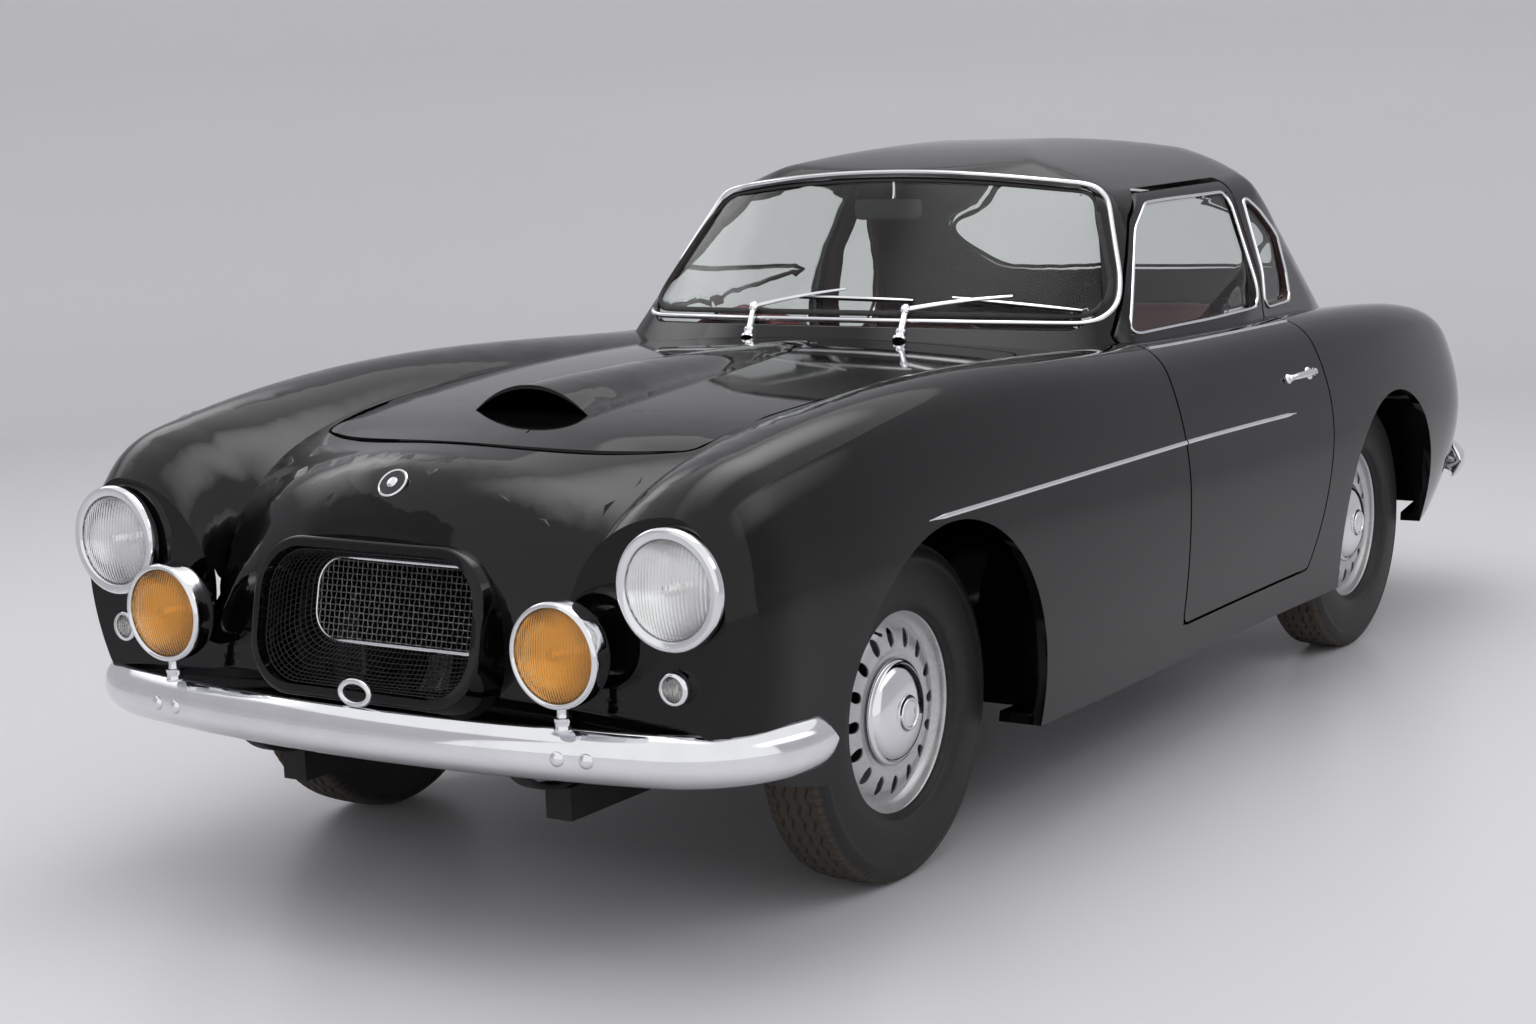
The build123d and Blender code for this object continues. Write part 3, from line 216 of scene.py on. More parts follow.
def curve_through(points, count, closed=False):
    """A smooth line through points: a Catmull-Rom spline sampled evenly in length."""
    p = np.asarray(points, float)
    if closed:
        p = np.concatenate([p[-1:], p, p[:2]])
    else:
        p = np.concatenate([2 * p[:1] - p[1:2], p, 2 * p[-1:] - p[-2:-1]])
    t = np.linspace(0, 1, 24, endpoint=False)[:, None]
    rows = []
    for a, b, c, d in zip(p[:-3], p[1:-2], p[2:-1], p[3:]):
        square, cube = 2 * a - 5 * b + 4 * c - d, 3 * b - a - 3 * c + d
        rows.append(0.5 * (2 * b + (c - a) * t + square * t**2 + cube * t**3))
    rows = np.concatenate(rows if closed else rows + [p[-2:-1]])
    if closed:
        rows = np.concatenate([rows, rows[:1]])
    length = np.concatenate([[0], np.cumsum(np.linalg.norm(np.diff(rows, axis=0), axis=1))])
    at = np.linspace(0, length[-1], count, endpoint=not closed)
    return np.stack([np.interp(at, length, rows[:, k]) for k in range(p.shape[1])], axis=1)


def mirrored(points):
    """The same points on the other side of the car."""
    return np.asarray(points, float) * [1, -1, 1]


# ---------------------------------------------------------------- the skin of the lower body

# One row for each cross-section: x, crown, valley y z, crest y z, side y z, sill y z, in millimetres
HALF = 862.0
SECTIONS = np.array(
    [
        [2045, 790, 455, 520, 680, 845, HALF - 70, 640, 715, 405],
        [1985, 865, 460, 690, 688, 895, HALF - 38, 650, 770, 372],
        [1860, 912, 475, 820, 695, 938, HALF - 18, 655, 805, 330],
        [1650, 938, 505, 898, 700, 970, HALF - 6, 655, 830, 295],
        [1334, 962, 545, 942, 702, 998, HALF, 645, 842, 262],
        [850, 980, 570, 960, 705, 999, HALF, 635, 838, 243],
        [250, 985, 590, 955, 700, 972, HALF, 620, 822, 232],
        [-450, 960, 600, 948, 705, 956, HALF + 1, 615, 820, 230],
        [-1104, 940, 600, 925, 715, 938, HALF, 620, 826, 245],
        [-1520, 905, 590, 880, 705, 905, HALF - 22, 605, 790, 300],
        [-1840, 815, 540, 790, 665, 828, HALF - 78, 580, 715, 350],
        [-2060, 700, 470, 680, 590, 715, HALF - 170, 560, 620, 395],
    ]
) / 1000


def smooth_through(x, table):
    """A natural cubic spline through the rows of a table, read at each x."""
    order = np.argsort(table[:, 0])
    knots, values = table[order, 0], table[order, 1:]
    h = np.diff(knots)
    n = len(knots)
    system, right = np.eye(n), np.zeros_like(values)
    for i in range(1, n - 1):
        system[i, i - 1 : i + 2] = h[i - 1], 2 * (h[i - 1] + h[i]), h[i]
        right[i] = 6 * ((values[i + 1] - values[i]) / h[i] - (values[i] - values[i - 1]) / h[i - 1])
    bend = np.linalg.solve(system, right)
    x = np.clip(x, knots[0], knots[-1])
    i = np.clip(np.searchsorted(knots, x) - 1, 0, n - 2)
    a, b = (knots[i + 1] - x)[:, None], (x - knots[i])[:, None]
    hi = h[i][:, None]
    return (
        bend[i] * a**3 / (6 * hi)
        + bend[i + 1] * b**3 / (6 * hi)
        + (values[i] / hi - bend[i] * hi / 6) * a
        + (values[i + 1] / hi - bend[i + 1] * hi / 6) * b
    )


def arc_from_level(top, end, t):
    """Points of the arc that leaves top level and ends at end; t runs from 0 to 1."""
    across, drop = end[:, 0] - top[:, 0], top[:, 1] - end[:, 1]
    drop = np.where(np.abs(drop) < 1e-9, 1e-9, drop)
    radius = (across**2 + drop**2) / (2 * drop)
    angle = 2 * np.arctan2(drop, across)[:, None] * t[None]
    radius = radius[:, None]
    return np.stack([top[:, :1] + radius * np.sin(angle), top[:, 1:] - radius * (1 - np.cos(angle))], axis=-1)


def skin_rows(x, per_arc=40):
    """Half cross-sections at each x.

    A level arc runs to the valley, an arc up to the crest, two round the shoulder, and one to the sill.
    """
    s = smooth_through(x, SECTIONS)
    crown, valley, crest = s[:, 0], s[:, 1:3], s[:, 3:5]
    side, sill = s[:, 5:7], s[:, 7:9]
    t = np.linspace(0, 1, per_arc)
    first = arc_from_level(np.stack([0 * crown, crown], 1), valley, t)
    second = arc_from_level(crest, valley, t)[:, ::-1]
    a, b = side[:, 0] - crest[:, 0], crest[:, 1] - side[:, 1]
    tight = 0.72 * a
    long = (a * a + (b - tight) ** 2 - tight * tight) / (2 * (a - tight))
    c1 = np.stack([crest[:, 0], crest[:, 1] - tight], 1)
    c2 = np.stack([side[:, 0] - long, side[:, 1]], 1)
    turn = np.arctan2(c1[:, 1] - c2[:, 1], c1[:, 0] - c2[:, 0])
    angle = (math.pi / 2 + (turn - math.pi / 2)[:, None] * t[None])
    third = c1[:, None] + tight[:, None, None] * np.stack([np.cos(angle), np.sin(angle)], -1)
    angle = turn[:, None] * (1 - t)[None]
    fourth = c2[:, None] + long[:, None, None] * np.stack([np.cos(angle), np.sin(angle)], -1)
    middle = np.stack([side[:, 0] - (side[:, 0] - sill[:, 0]) * 0.27, (side[:, 1] + sill[:, 1]) / 2], 1)
    fifth = arc_through(side, middle, sill, t)
    return np.concatenate([first, second[:, 1:], third[:, 1:], fourth[:, 1:], fifth[:, 1:]], axis=1)


def arc_through(start, middle, end, t):
    """Points of the circle arc through three points, for whole arrays of arcs."""
    d = 2 * (
        start[:, 0] * (middle[:, 1] - end[:, 1])
        + middle[:, 0] * (end[:, 1] - start[:, 1])
        + end[:, 0] * (start[:, 1] - middle[:, 1])
    )
    q = [(p**2).sum(1) for p in (start, middle, end)]
    spans = (middle - end, end - start, start - middle)
    across = sum(k * span[:, 1] for k, span in zip(q, spans)) / d
    up = -sum(k * span[:, 0] for k, span in zip(q, spans)) / d
    centre = np.stack([across, up], 1)
    radius = np.linalg.norm(start - centre, axis=1)
    angles = [np.arctan2(*(p - centre).T[::-1]) for p in (start, middle, end)]
    sweep = np.mod(angles[2] - angles[0] + math.pi, 2 * math.pi) - math.pi
    angle = angles[0][:, None] + sweep[:, None] * t[None]
    return centre[:, None] + radius[:, None, None] * np.stack([np.cos(angle), np.sin(angle)], -1)


SKIN_X = np.linspace(-2.06, 2.045, 412)
SKIN_P = skin_rows(SKIN_X)


def skin_normals():
    """Normals of the skin: the tangent round the section crossed with the tangent along the car."""
    lengthwise = np.broadcast_to(SKIN_X[:, None, None], SKIN_P.shape[:2] + (1,))
    points = np.concatenate([lengthwise, SKIN_P], axis=-1)
    round_it = np.gradient(points, axis=1)
    along_it = np.gradient(points, axis=0)
    normal = np.cross(round_it, along_it)
    normal /= np.linalg.norm(normal, axis=-1, keepdims=True)
    middle = normal[len(normal) // 2, 0]
    return normal if middle[2] > 0 else -normal


SKIN_N = skin_normals()


def skin_at(points, chunk=3000):
    """The skin's nearest point in the same cross-section, its normal there, and the distance outside it."""
    foot, normal, out = np.empty_like(points), np.empty_like(points), np.empty(len(points))
    for begin in range(0, len(points), chunk):
        p = points[begin : begin + chunk]
        side = np.where(p[:, 1] < 0, -1.0, 1.0)
        place = np.clip((p[:, 0] - SKIN_X[0]) / (SKIN_X[1] - SKIN_X[0]), 0, len(SKIN_X) - 1.0001)
        i = place.astype(int)
        f = (place - i)[:, None, None]
        rows = SKIN_P[i] * (1 - f) + SKIN_P[i + 1] * f
        target = np.stack([np.abs(p[:, 1]), p[:, 2]], 1)
        near = ((rows - target[:, None]) ** 2).sum(-1).argmin(1)
        n = np.arange(len(p))
        best = None
        for step in (-1, 0):
            k = np.clip(near + step, 0, rows.shape[1] - 2)
            a, b = rows[n, k], rows[n, k + 1]
            t = np.clip(((target - a) * (b - a)).sum(1) / np.maximum(((b - a) ** 2).sum(1), 1e-12), 0, 1)
            q = a + (b - a) * t[:, None]
            gap = np.linalg.norm(q - target, axis=1)
            if best is None:
                best = [gap, q, k, t]
            else:
                closer = gap < best[0]
                best = [
                    np.where(closer, gap, best[0]), np.where(closer[:, None], q, best[1]),
                    np.where(closer, k, best[2]), np.where(closer, t, best[3]),
                ]
        gap, q, k, t = best
        f, t = f[:, 0], t[:, None]
        m = (
            SKIN_N[i, k] * (1 - f) * (1 - t) + SKIN_N[i, k + 1] * (1 - f) * t
            + SKIN_N[i + 1, k] * f * (1 - t) + SKIN_N[i + 1, k + 1] * f * t
        )
        m /= np.linalg.norm(m, axis=1, keepdims=True)
        away = ((target - q) * m[:, 1:]).sum(1)
        foot[begin : begin + chunk] = np.stack([p[:, 0], q[:, 0] * side, q[:, 1]], 1)
        normal[begin : begin + chunk] = m * np.stack([np.ones(len(p)), side, np.ones(len(p))], 1)
        out[begin : begin + chunk] = np.sign(away) * gap
    return foot, normal, out


# ---------------------------------------------------------------- cut panels, refined


def refine(points, triangles, limit, rounds=9):
    """Splits every edge longer than limit at its middle, until none is left; neighbours stay joined."""
    for _ in range(rounds):
        edges = np.sort(triangles[:, [[0, 1], [1, 2], [2, 0]]].reshape(-1, 2), axis=1)
        unique, back = np.unique(edges, axis=0, return_inverse=True)
        length = np.linalg.norm(points[unique[:, 0]] - points[unique[:, 1]], axis=1)
        long = length > limit
        if not long.any():
            break
        number = np.full(len(unique), -1)
        number[long] = len(points) + np.arange(long.sum())
        points = np.concatenate([points, points[unique[long]].mean(axis=1)])
        m = number[back.reshape(-1)].reshape(-1, 3)
        made = [triangles[(m < 0).all(1)]]
        for turn in range(3):
            t, k = np.roll(triangles, -turn, 1), np.roll(m, -turn, 1)
            one = (k[:, 0] >= 0) & (k[:, 1] < 0) & (k[:, 2] < 0)
            a, b, c = t[one].T
            ab = k[one, 0]
            made += [np.stack([a, ab, c], 1), np.stack([ab, b, c], 1)]
            two = (k[:, 0] >= 0) & (k[:, 1] >= 0) & (k[:, 2] < 0)
            a, b, c = t[two].T
            ab, bc = k[two, 0], k[two, 1]
            made += [np.stack([ab, b, bc], 1), np.stack([a, ab, bc], 1), np.stack([a, bc, c], 1)]
        every = (m >= 0).all(1)
        a, b, c = triangles[every].T
        ab, bc, ca = m[every].T
        made += [np.stack(s, 1) for s in ((a, ab, ca), (ab, b, bc), (ca, bc, c), (ab, bc, ca))]
        triangles = np.concatenate(made)
    return points, triangles


def smooth_groups(points, triangles, angle):
    """Numbers the corners of triangles so that corners share a number where the surface runs on smoothly."""
    normal = np.cross(
        points[triangles[:, 1]] - points[triangles[:, 0]], points[triangles[:, 2]] - points[triangles[:, 0]]
    )
    area = np.linalg.norm(normal, axis=1, keepdims=True)
    unit = normal / np.maximum(area, 1e-15)
    edges = np.sort(triangles[:, [[0, 1], [1, 2], [2, 0]]].reshape(-1, 2), axis=1)
    owner = np.repeat(np.arange(len(triangles)), 3)
    order = np.lexsort((edges[:, 1], edges[:, 0]))
    e, o = edges[order], owner[order]
    same = (e[1:] == e[:-1]).all(1)
    left, right = o[:-1][same], o[1:][same]
    flat = (unit[left] * unit[right]).sum(1) > math.cos(math.radians(angle))
    left, right = left[flat], right[flat]
    group = np.arange(len(triangles))
    for _ in range(400):
        low = np.minimum(group[left], group[right])
        before = group.copy()
        np.minimum.at(group, left, low)
        np.minimum.at(group, right, low)
        group = group[group]
        if (group == before).all():
            break
    key = triangles.astype(np.int64) * (len(triangles) + 1) + group[:, None]
    _, corner = np.unique(key.reshape(-1), return_inverse=True)
    return corner.reshape(-1, 3), normal, unit


def soft_normals(points, triangles, rounds, angle=24.0, held=None, direction=None):
    """Corner normals of a refined mesh, evened out in each smooth patch; held faces keep known ones."""
    corner, normal, _ = smooth_groups(points, triangles, angle)
    count = corner.max() + 1
    total = np.zeros((count, 3))
    for k in range(3):
        np.add.at(total, corner[:, k], normal)
    total /= np.maximum(np.linalg.norm(total, axis=1, keepdims=True), 1e-15)
    keep = np.zeros(count, bool)
    if held is not None:
        keep[corner[held].ravel()] = True
        total[corner[held].ravel()] = direction[triangles[held].ravel()]
    known = total[keep]
    for _ in range(rounds):
        around, weight = total * 1.0, np.ones((count, 1))
        for k in range(3):
            for j in ((k + 1) % 3, (k + 2) % 3):
                np.add.at(around, corner[:, k], total[corner[:, j]])
                np.add.at(weight, corner[:, k], 1.0)
        total = around / weight
        total /= np.maximum(np.linalg.norm(total, axis=1, keepdims=True), 1e-15)
        total[keep] = known
    return total[corner]


def cad_copy(nodes):
    """Points and triangles of a merged copy of CAD nodes."""
    work = bmesh.new()
    for node in [nodes] if isinstance(nodes, str) else nodes:
        work.from_mesh(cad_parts[node].data)
    bmesh.ops.remove_doubles(work, verts=work.verts, dist=1e-5)
    bmesh.ops.triangulate(work, faces=work.faces)
    work.verts.ensure_lookup_table()
    points = np.array([v.co for v in work.verts], float)
    triangles = np.array([[v.index for v in f.verts] for f in work.faces], int)
    work.free()
    return points, triangles


def panel(name, node, materials, body, limit=0.034, rounds=10, on_skin=True, finish=None, reach=0.006):
    """A refined copy of a cut panel; its outer face lies on the worked-out skin, with the skin's normals."""
    points, triangles = cad_copy(node)
    points, triangles = refine(points, triangles, limit)
    if on_skin:
        foot, direction, out = skin_at(points)
        inside = (points[:, 0] > -2.055) & (points[:, 0] < 2.04)
        close = (np.abs(out) < reach) & inside
        a, b, c = (points[triangles[:, k]] for k in range(3))
        flat = np.cross(b - a, c - a)
        flat /= np.maximum(np.linalg.norm(flat, axis=1, keepdims=True), 1e-15)
        facing = (flat * direction[triangles].mean(1)).sum(1) > 0.8
        skin_faces = close[triangles].all(1) & facing
        used = np.zeros(len(points), bool)
        used[triangles[skin_faces].ravel()] = True
        points = np.where(used[:, None], foot, points)
        normals = soft_normals(points, triangles, rounds, 24.0, skin_faces, direction)
    else:
        normals = soft_normals(points, triangles, rounds)
    mesh = bpy.data.meshes.new(name)
    mesh.from_pydata(points.tolist(), [], triangles.tolist())
    mesh.update()
    if finish is not None:
        middle = points[triangles].mean(1)
        chosen = finish(middle, normals.mean(1)).astype(np.int32)
        if on_skin:
            chosen[skin_faces] = 0
        mesh.polygons.foreach_set("material_index", chosen)
    piece = finish_piece(name, mesh, materials, body, node, sharp=None)
    mesh.normals_split_custom_set([Vector(n) for n in normals.reshape(-1, 3)])
    return piece


# ---------------------------------------------------------------- materials


class Nodes:
    """A short way to write a material's nodes."""

    def __init__(self, tree):
        self.tree = tree
        self.place = 0

    def add(self, kind, values=(), **sockets):
        """A node with its settings and its input sockets, each a value or another node's output."""
        node = self.tree.nodes.new(kind)
        self.place += 1
        node.location = (-220 * (self.place % 6), -200 * (self.place // 6))
        for key, value in dict(values).items():
            setattr(node, key, value)
        for key, value in sockets.items():
            key = int(key[1:]) if key[0] == "n" and key[1:].isdigit() else key.replace("_", " ")
            if isinstance(value, bpy.types.NodeSocket):
                self.tree.links.new(value, node.inputs[key])
            else:
                node.inputs[key].default_value = value
        return node

    def math(self, operation, a, b=0.0, clamp=False):
        return self.add("ShaderNodeMath", {"operation": operation, "use_clamp": clamp}, n0=a, n1=b).outputs[0]

    def mix(self, factor, a, b):
        node = self.add("ShaderNodeMix", {"data_type": "RGBA"})
        for socket, value in ((node.inputs[0], factor), (node.inputs[6], a), (node.inputs[7], b)):
            if isinstance(value, bpy.types.NodeSocket):
                self.tree.links.new(value, socket)
            else:
                socket.default_value = value
        return node.outputs[2]

    def noise(self, vector, scale, detail=3.0, roughness=0.5):
        return self.add(
            "ShaderNodeTexNoise", n0=vector, Scale=scale, Detail=detail, Roughness=roughness
        ).outputs[0]

    def ramp(self, value, low, high, to_low=0.0, to_high=1.0):
        ends = {"From_Min": low, "From_Max": high, "To_Min": to_low, "To_Max": to_high}
        return self.add("ShaderNodeMapRange", {"clamp": True}, Value=value, **ends).outputs[0]


def rgb(red, green, blue):
    """A colour given as the eye sees it, 0 to 255, as a linear value."""
    c = np.array([red, green, blue]) / 255
    c = np.where(c <= 0.04045, c / 12.92, ((c + 0.055) / 1.055) ** 2.4)
    return (*c.tolist(), 1.0)


def darker(colour, share):
    """The same colour with its light cut to a share."""
    return (*(part * share for part in colour[:3]), 1.0)


def effect(name, outputs, inputs, build):
    """A shader node group with named inputs and outputs, made once."""
    if name in bpy.data.node_groups:
        return bpy.data.node_groups[name]
    tree = bpy.data.node_groups.new(name, "ShaderNodeTree")
    for label, kind, default in inputs:
        socket = tree.interface.new_socket(name=label, in_out="INPUT", socket_type=kind)
        if default is not None:
            socket.default_value = default
    for label, kind in outputs:
        tree.interface.new_socket(name=label, in_out="OUTPUT", socket_type=kind)
    nodes = Nodes(tree)
    start, end = tree.nodes.new("NodeGroupInput"), tree.nodes.new("NodeGroupOutput")
    for label, socket in build(nodes, start).items():
        tree.links.new(socket, end.inputs[label])
    return tree


def settled_dust():
    """Dust mask: broad and fine noise multiplied, stronger towards the ground."""

    def build(n, start):
        place, low = start.outputs["Place"], start.outputs["Height"]
        broad = n.noise(place, 3.0, 4.0)
        fine = n.noise(place, 90.0, 3.0)
        z = n.add("ShaderNodeSeparateXYZ", n0=place).outputs[2]
        ground = n.ramp(z, 0.0, low, 1.0, 0.0)
        spots = n.math("MULTIPLY", n.ramp(broad, 0.35, 0.75), n.ramp(fine, 0.4, 0.75))
        settled = n.math("ADD", spots, n.math("MULTIPLY", ground, broad))
        return {"Mask": n.math("MULTIPLY", settled, start.outputs["Amount"], True), "Broad": broad}

    return effect(
        "settled dust",
        [("Mask", "NodeSocketFloat"), ("Broad", "NodeSocketFloat")],
        [
            ("Place", "NodeSocketVector", None), ("Amount", "NodeSocketFloat", 0.2),
            ("Height", "NodeSocketFloat", 0.6),
        ],
        build,
    )


def hide_grain():
    """Leather grain: cell edges and finer noise on a slowly wandering place, as a height; a mask for wear."""

    def build(n, start):
        place, size = start.outputs["Place"], start.outputs["Cells"]
        drift = n.add("ShaderNodeTexNoise", n0=place, Scale=40.0).outputs[1]
        bent = n.add("ShaderNodeMix", {"data_type": "VECTOR"}, n0=0.02)
        n.tree.links.new(place, bent.inputs[4])
        n.tree.links.new(drift, bent.inputs[5])
        cells = n.add(
            "ShaderNodeTexVoronoi", {"feature": "DISTANCE_TO_EDGE"}, n0=bent.outputs[1], Scale=size
        ).outputs[0]
        small = n.noise(place, n.math("MULTIPLY", size, 2.3), 4.0)
        height = n.math("ADD", n.ramp(cells, 0.0, 0.18), n.math("MULTIPLY", small, 0.35))
        return {"Height": height, "Wear": n.noise(place, 6.0, 3.0)}

    return effect(
        "hide grain",
        [("Height", "NodeSocketFloat"), ("Wear", "NodeSocketFloat")],
        [("Place", "NodeSocketVector", None), ("Cells", "NodeSocketFloat", 420.0)],
        build,
    )


def use(n, tree, **sockets):
    """Places a group in a material with its own values."""
    node = n.add("ShaderNodeGroup", {"node_tree": tree})
    for key, value in sockets.items():
        if isinstance(value, bpy.types.NodeSocket):
            n.tree.links.new(value, node.inputs[key])
        else:
            node.inputs[key].default_value = value
    return node


def blank(name):
    """An empty material: its node writer, its shader and the object place socket."""
    if name in bpy.data.materials:
        return bpy.data.materials[name], None, None, None
    material = bpy.data.materials.new(name)
    material.use_nodes = True
    tree = material.node_tree
    n = Nodes(tree)
    shader = tree.nodes["Principled BSDF"]
    place = n.add("ShaderNodeTexCoord").outputs["Object"]
    return material, n, shader, place


def setup(n, shader, **sockets):
    """Sets the shader's sockets to numbers, colours or other nodes' outputs."""
    for key, value in sockets.items():
        key = key.replace("_", " ")
        if isinstance(value, bpy.types.NodeSocket):
            n.tree.links.new(value, shader.inputs[key])
        else:
            shader.inputs[key].default_value = value


def bump(n, height, strength, distance):
    return n.add("ShaderNodeBump", Height=height, Strength=strength, Distance=distance).outputs[0]


def paint(name="black cellulose paint", colour=None):
    material, n, shader, place = blank(name)
    if n:
        dust = use(n, settled_dust(), Place=place, Amount=0.05, Height=0.35)
        base = colour or rgb(5, 5, 6)
        mixed = n.mix(dust.outputs["Mask"], base, rgb(64, 60, 56))
        peel = n.noise(place, 230.0, 2.0)
        setup(
            n, shader, Base_Color=mixed, Metallic=0.0, IOR=1.38, Coat_Weight=0.0,
            Roughness=n.ramp(dust.outputs["Broad"], 0.2, 0.8, 0.035, 0.075),
            Normal=bump(n, peel, 0.012, 0.001),
        )
    return material


def chrome(name="chrome plate", colour=(0.80, 0.81, 0.83, 1.0), rough=0.05):
    material, n, shader, place = blank(name)
    if n:
        haze = n.noise(place, 14.0, 4.0)
        fine = n.noise(place, 400.0, 2.0)
        setup(
            n, shader, Base_Color=n.mix(n.ramp(haze, 0.45, 0.8, 0.0, 0.5), colour, darker(colour, 0.86)),
            Metallic=1.0, Roughness=n.ramp(haze, 0.3, 0.75, rough, rough + 0.07),
            Normal=bump(n, fine, 0.02, 0.0004),
        )
    return material


def silver_paint():
    material, n, shader, place = blank("silver wheel paint")
    if n:
        dust = use(n, settled_dust(), Place=place, Amount=0.35, Height=0.7)
        flake = n.noise(place, 900.0, 1.0)
        base = n.mix(n.ramp(flake, 0.3, 0.7), rgb(176, 177, 180), rgb(214, 215, 217))
        setup(
            n, shader, Base_Color=n.mix(dust.outputs["Mask"], base, rgb(120, 112, 104)), Metallic=0.55,
            Roughness=n.ramp(flake, 0.2, 0.8, 0.26, 0.38), Coat_Weight=0.3, Coat_Roughness=0.12,
            Normal=bump(n, n.noise(place, 160.0, 3.0), 0.05, 0.001),
        )
    return material


def tyre_rubber():
    """Black sidewalls; the tread attribute brings in the dusty brown of the running face."""
    material, n, shader, place = blank("tyre rubber")
    if n:
        dust = use(n, settled_dust(), Place=place, Amount=0.35, Height=0.25)
        tread = n.add("ShaderNodeAttribute", {"attribute_name": "tread"}).outputs["Fac"]
        worn = n.mix(dust.outputs["Broad"], rgb(46, 43, 40), rgb(82, 75, 67))
        wall = n.mix(dust.outputs["Mask"], rgb(20, 20, 21), rgb(70, 66, 61))
        grain = n.noise(place, 520.0, 3.0)
        setup(
            n, shader, Base_Color=n.mix(tread, wall, worn), Roughness=n.ramp(tread, 0.0, 1.0, 0.52, 0.85),
            Specular_IOR_Level=0.4, Normal=bump(n, grain, 0.18, 0.0012),
        )
    return material


def clear_glass(name="window glass", colour=(0.93, 0.96, 0.94, 1.0), rough=0.0):
    material, n, shader, place = blank(name)
    if n:
        smear = n.noise(place, 5.0, 5.0)
        setup(
            n, shader, Base_Color=colour, Transmission_Weight=1.0, IOR=1.2, Metallic=0.0,
            Roughness=n.ramp(smear, 0.45, 0.9, rough, rough + 0.02),
        )
    return material


def fluted_glass(name, colour, pitch, bend=0.9):
    """Lamp glass with upright flutes: a wave across the car as the bump's height."""
    material, n, shader, place = blank(name)
    if n:
        y = n.add("ShaderNodeSeparateXYZ", n0=place).outputs[1]
        wave = n.math("SINE", n.math("MULTIPLY", y, 2 * math.pi / pitch))
        soft = n.noise(place, 30.0, 2.0)
        setup(
            n, shader, Base_Color=n.mix(n.ramp(soft, 0.3, 0.8, 0.0, 0.35), colour, darker(colour, 0.8)),
            Transmission_Weight=1.0, IOR=1.5, Metallic=0.0, Roughness=0.03,
            Normal=bump(n, wave, bend, pitch / 3),
        )
    return material


def leather(name, colour, dark, cells=420.0, rough=0.42):
    material, n, shader, place = blank(name)
    if n:
        grain = use(n, hide_grain(), Place=place, Cells=cells)
        dust = use(n, settled_dust(), Place=place, Amount=0.06, Height=0.4)
        tint = n.mix(n.ramp(grain.outputs["Wear"], 0.35, 0.7), dark, colour)
        setup(
            n, shader, Base_Color=n.mix(dust.outputs["Mask"], tint, rgb(120, 96, 90)),
            Roughness=n.ramp(grain.outputs["Wear"], 0.3, 0.8, rough, rough + 0.16), Specular_IOR_Level=0.45,
            Normal=bump(n, grain.outputs["Height"], 0.25, 0.0008), Sheen_Weight=0.08,
        )
    return material


def cloth(name, colour, dark, weave=900.0, sheen=0.3):
    """Woven or tufted lining: two crossed sine waves make the threads, noise makes the nap."""
    material, n, shader, place = blank(name)
    if n:
        parts = n.add("ShaderNodeSeparateXYZ", n0=place)
        a = n.math("SINE", n.math("MULTIPLY", parts.outputs[0], weave * 2.0))
        b = n.math("SINE", n.math("MULTIPLY", parts.outputs[1], weave * 2.0))
        nap = n.noise(place, weave * 0.4, 4.0)
        height = n.math("ADD", n.math("MULTIPLY", n.math("MULTIPLY", a, b), 0.5), nap)
        setup(
            n, shader, Base_Color=n.mix(n.ramp(n.noise(place, 9.0, 5.0), 0.3, 0.7), dark, colour),
            Roughness=0.95, Specular_IOR_Level=0.15, Sheen_Weight=sheen, Sheen_Roughness=0.5,
            Normal=bump(n, height, 0.4, 0.001),
        )
    return material


def steel(name, light, dark, metallic=0.6, rough=0.45, scale=30.0, strength=0.15, dusty=0.3):
    """Painted, cast or sooty metal: noise mixes two tones, with a fine bump."""
    material, n, shader, place = blank(name)
    if n:
        dust = use(n, settled_dust(), Place=place, Amount=dusty, Height=0.6)
        tone = n.noise(place, scale, 5.0)
        metal = n.mix(n.ramp(tone, 0.3, 0.7), dark, light)
        setup(
            n, shader,
            Base_Color=n.mix(dust.outputs["Mask"], metal, rgb(88, 80, 72)),
            Metallic=metallic, Roughness=n.ramp(tone, 0.25, 0.75, rough, rough + 0.2),
            Normal=bump(n, n.noise(place, scale * 12, 3.0), strength, 0.001),
        )
    return material


def soft_rubber():
    return steel("window rubber", rgb(26, 26, 27), rgb(14, 14, 15), 0.0, 0.6, 60.0, 0.1)


# ---------------------------------------------------------------- sizes and colours a user would change


class CoupeSizes(bpy.types.PropertyGroup):
    """Sizes of the dressed pieces, in metres."""

    strip_height: bpy.props.FloatProperty(
        name="Side strip height", description="Height of the bright strip along the side", default=0.011,
        unit="LENGTH",
    )
    window_bead: bpy.props.FloatProperty(
        name="Window bead", description="Width of the bright bead round the glass", default=0.011,
        unit="LENGTH",
    )
    mesh_pitch: bpy.props.FloatProperty(
        name="Grille mesh pitch", description="Distance between two wires of the grille", default=0.0125,
        unit="LENGTH",
    )
    mesh_wire: bpy.props.FloatProperty(
        name="Grille wire", description="Thickness of one wire of the grille", default=0.0026, unit="LENGTH"
    )
    tread_depth: bpy.props.FloatProperty(
        name="Tread depth", description="Depth of the grooves in the tyres", default=0.0055, unit="LENGTH"
    )
    vents: bpy.props.IntProperty(
        name="Wheel vents", description="Oval vents in each wheel", default=16, min=6, max=30
    )
    pleats: bpy.props.IntProperty(
        name="Seat pleats", description="Sewn channels across a seat", default=9, min=3, max=20
    )


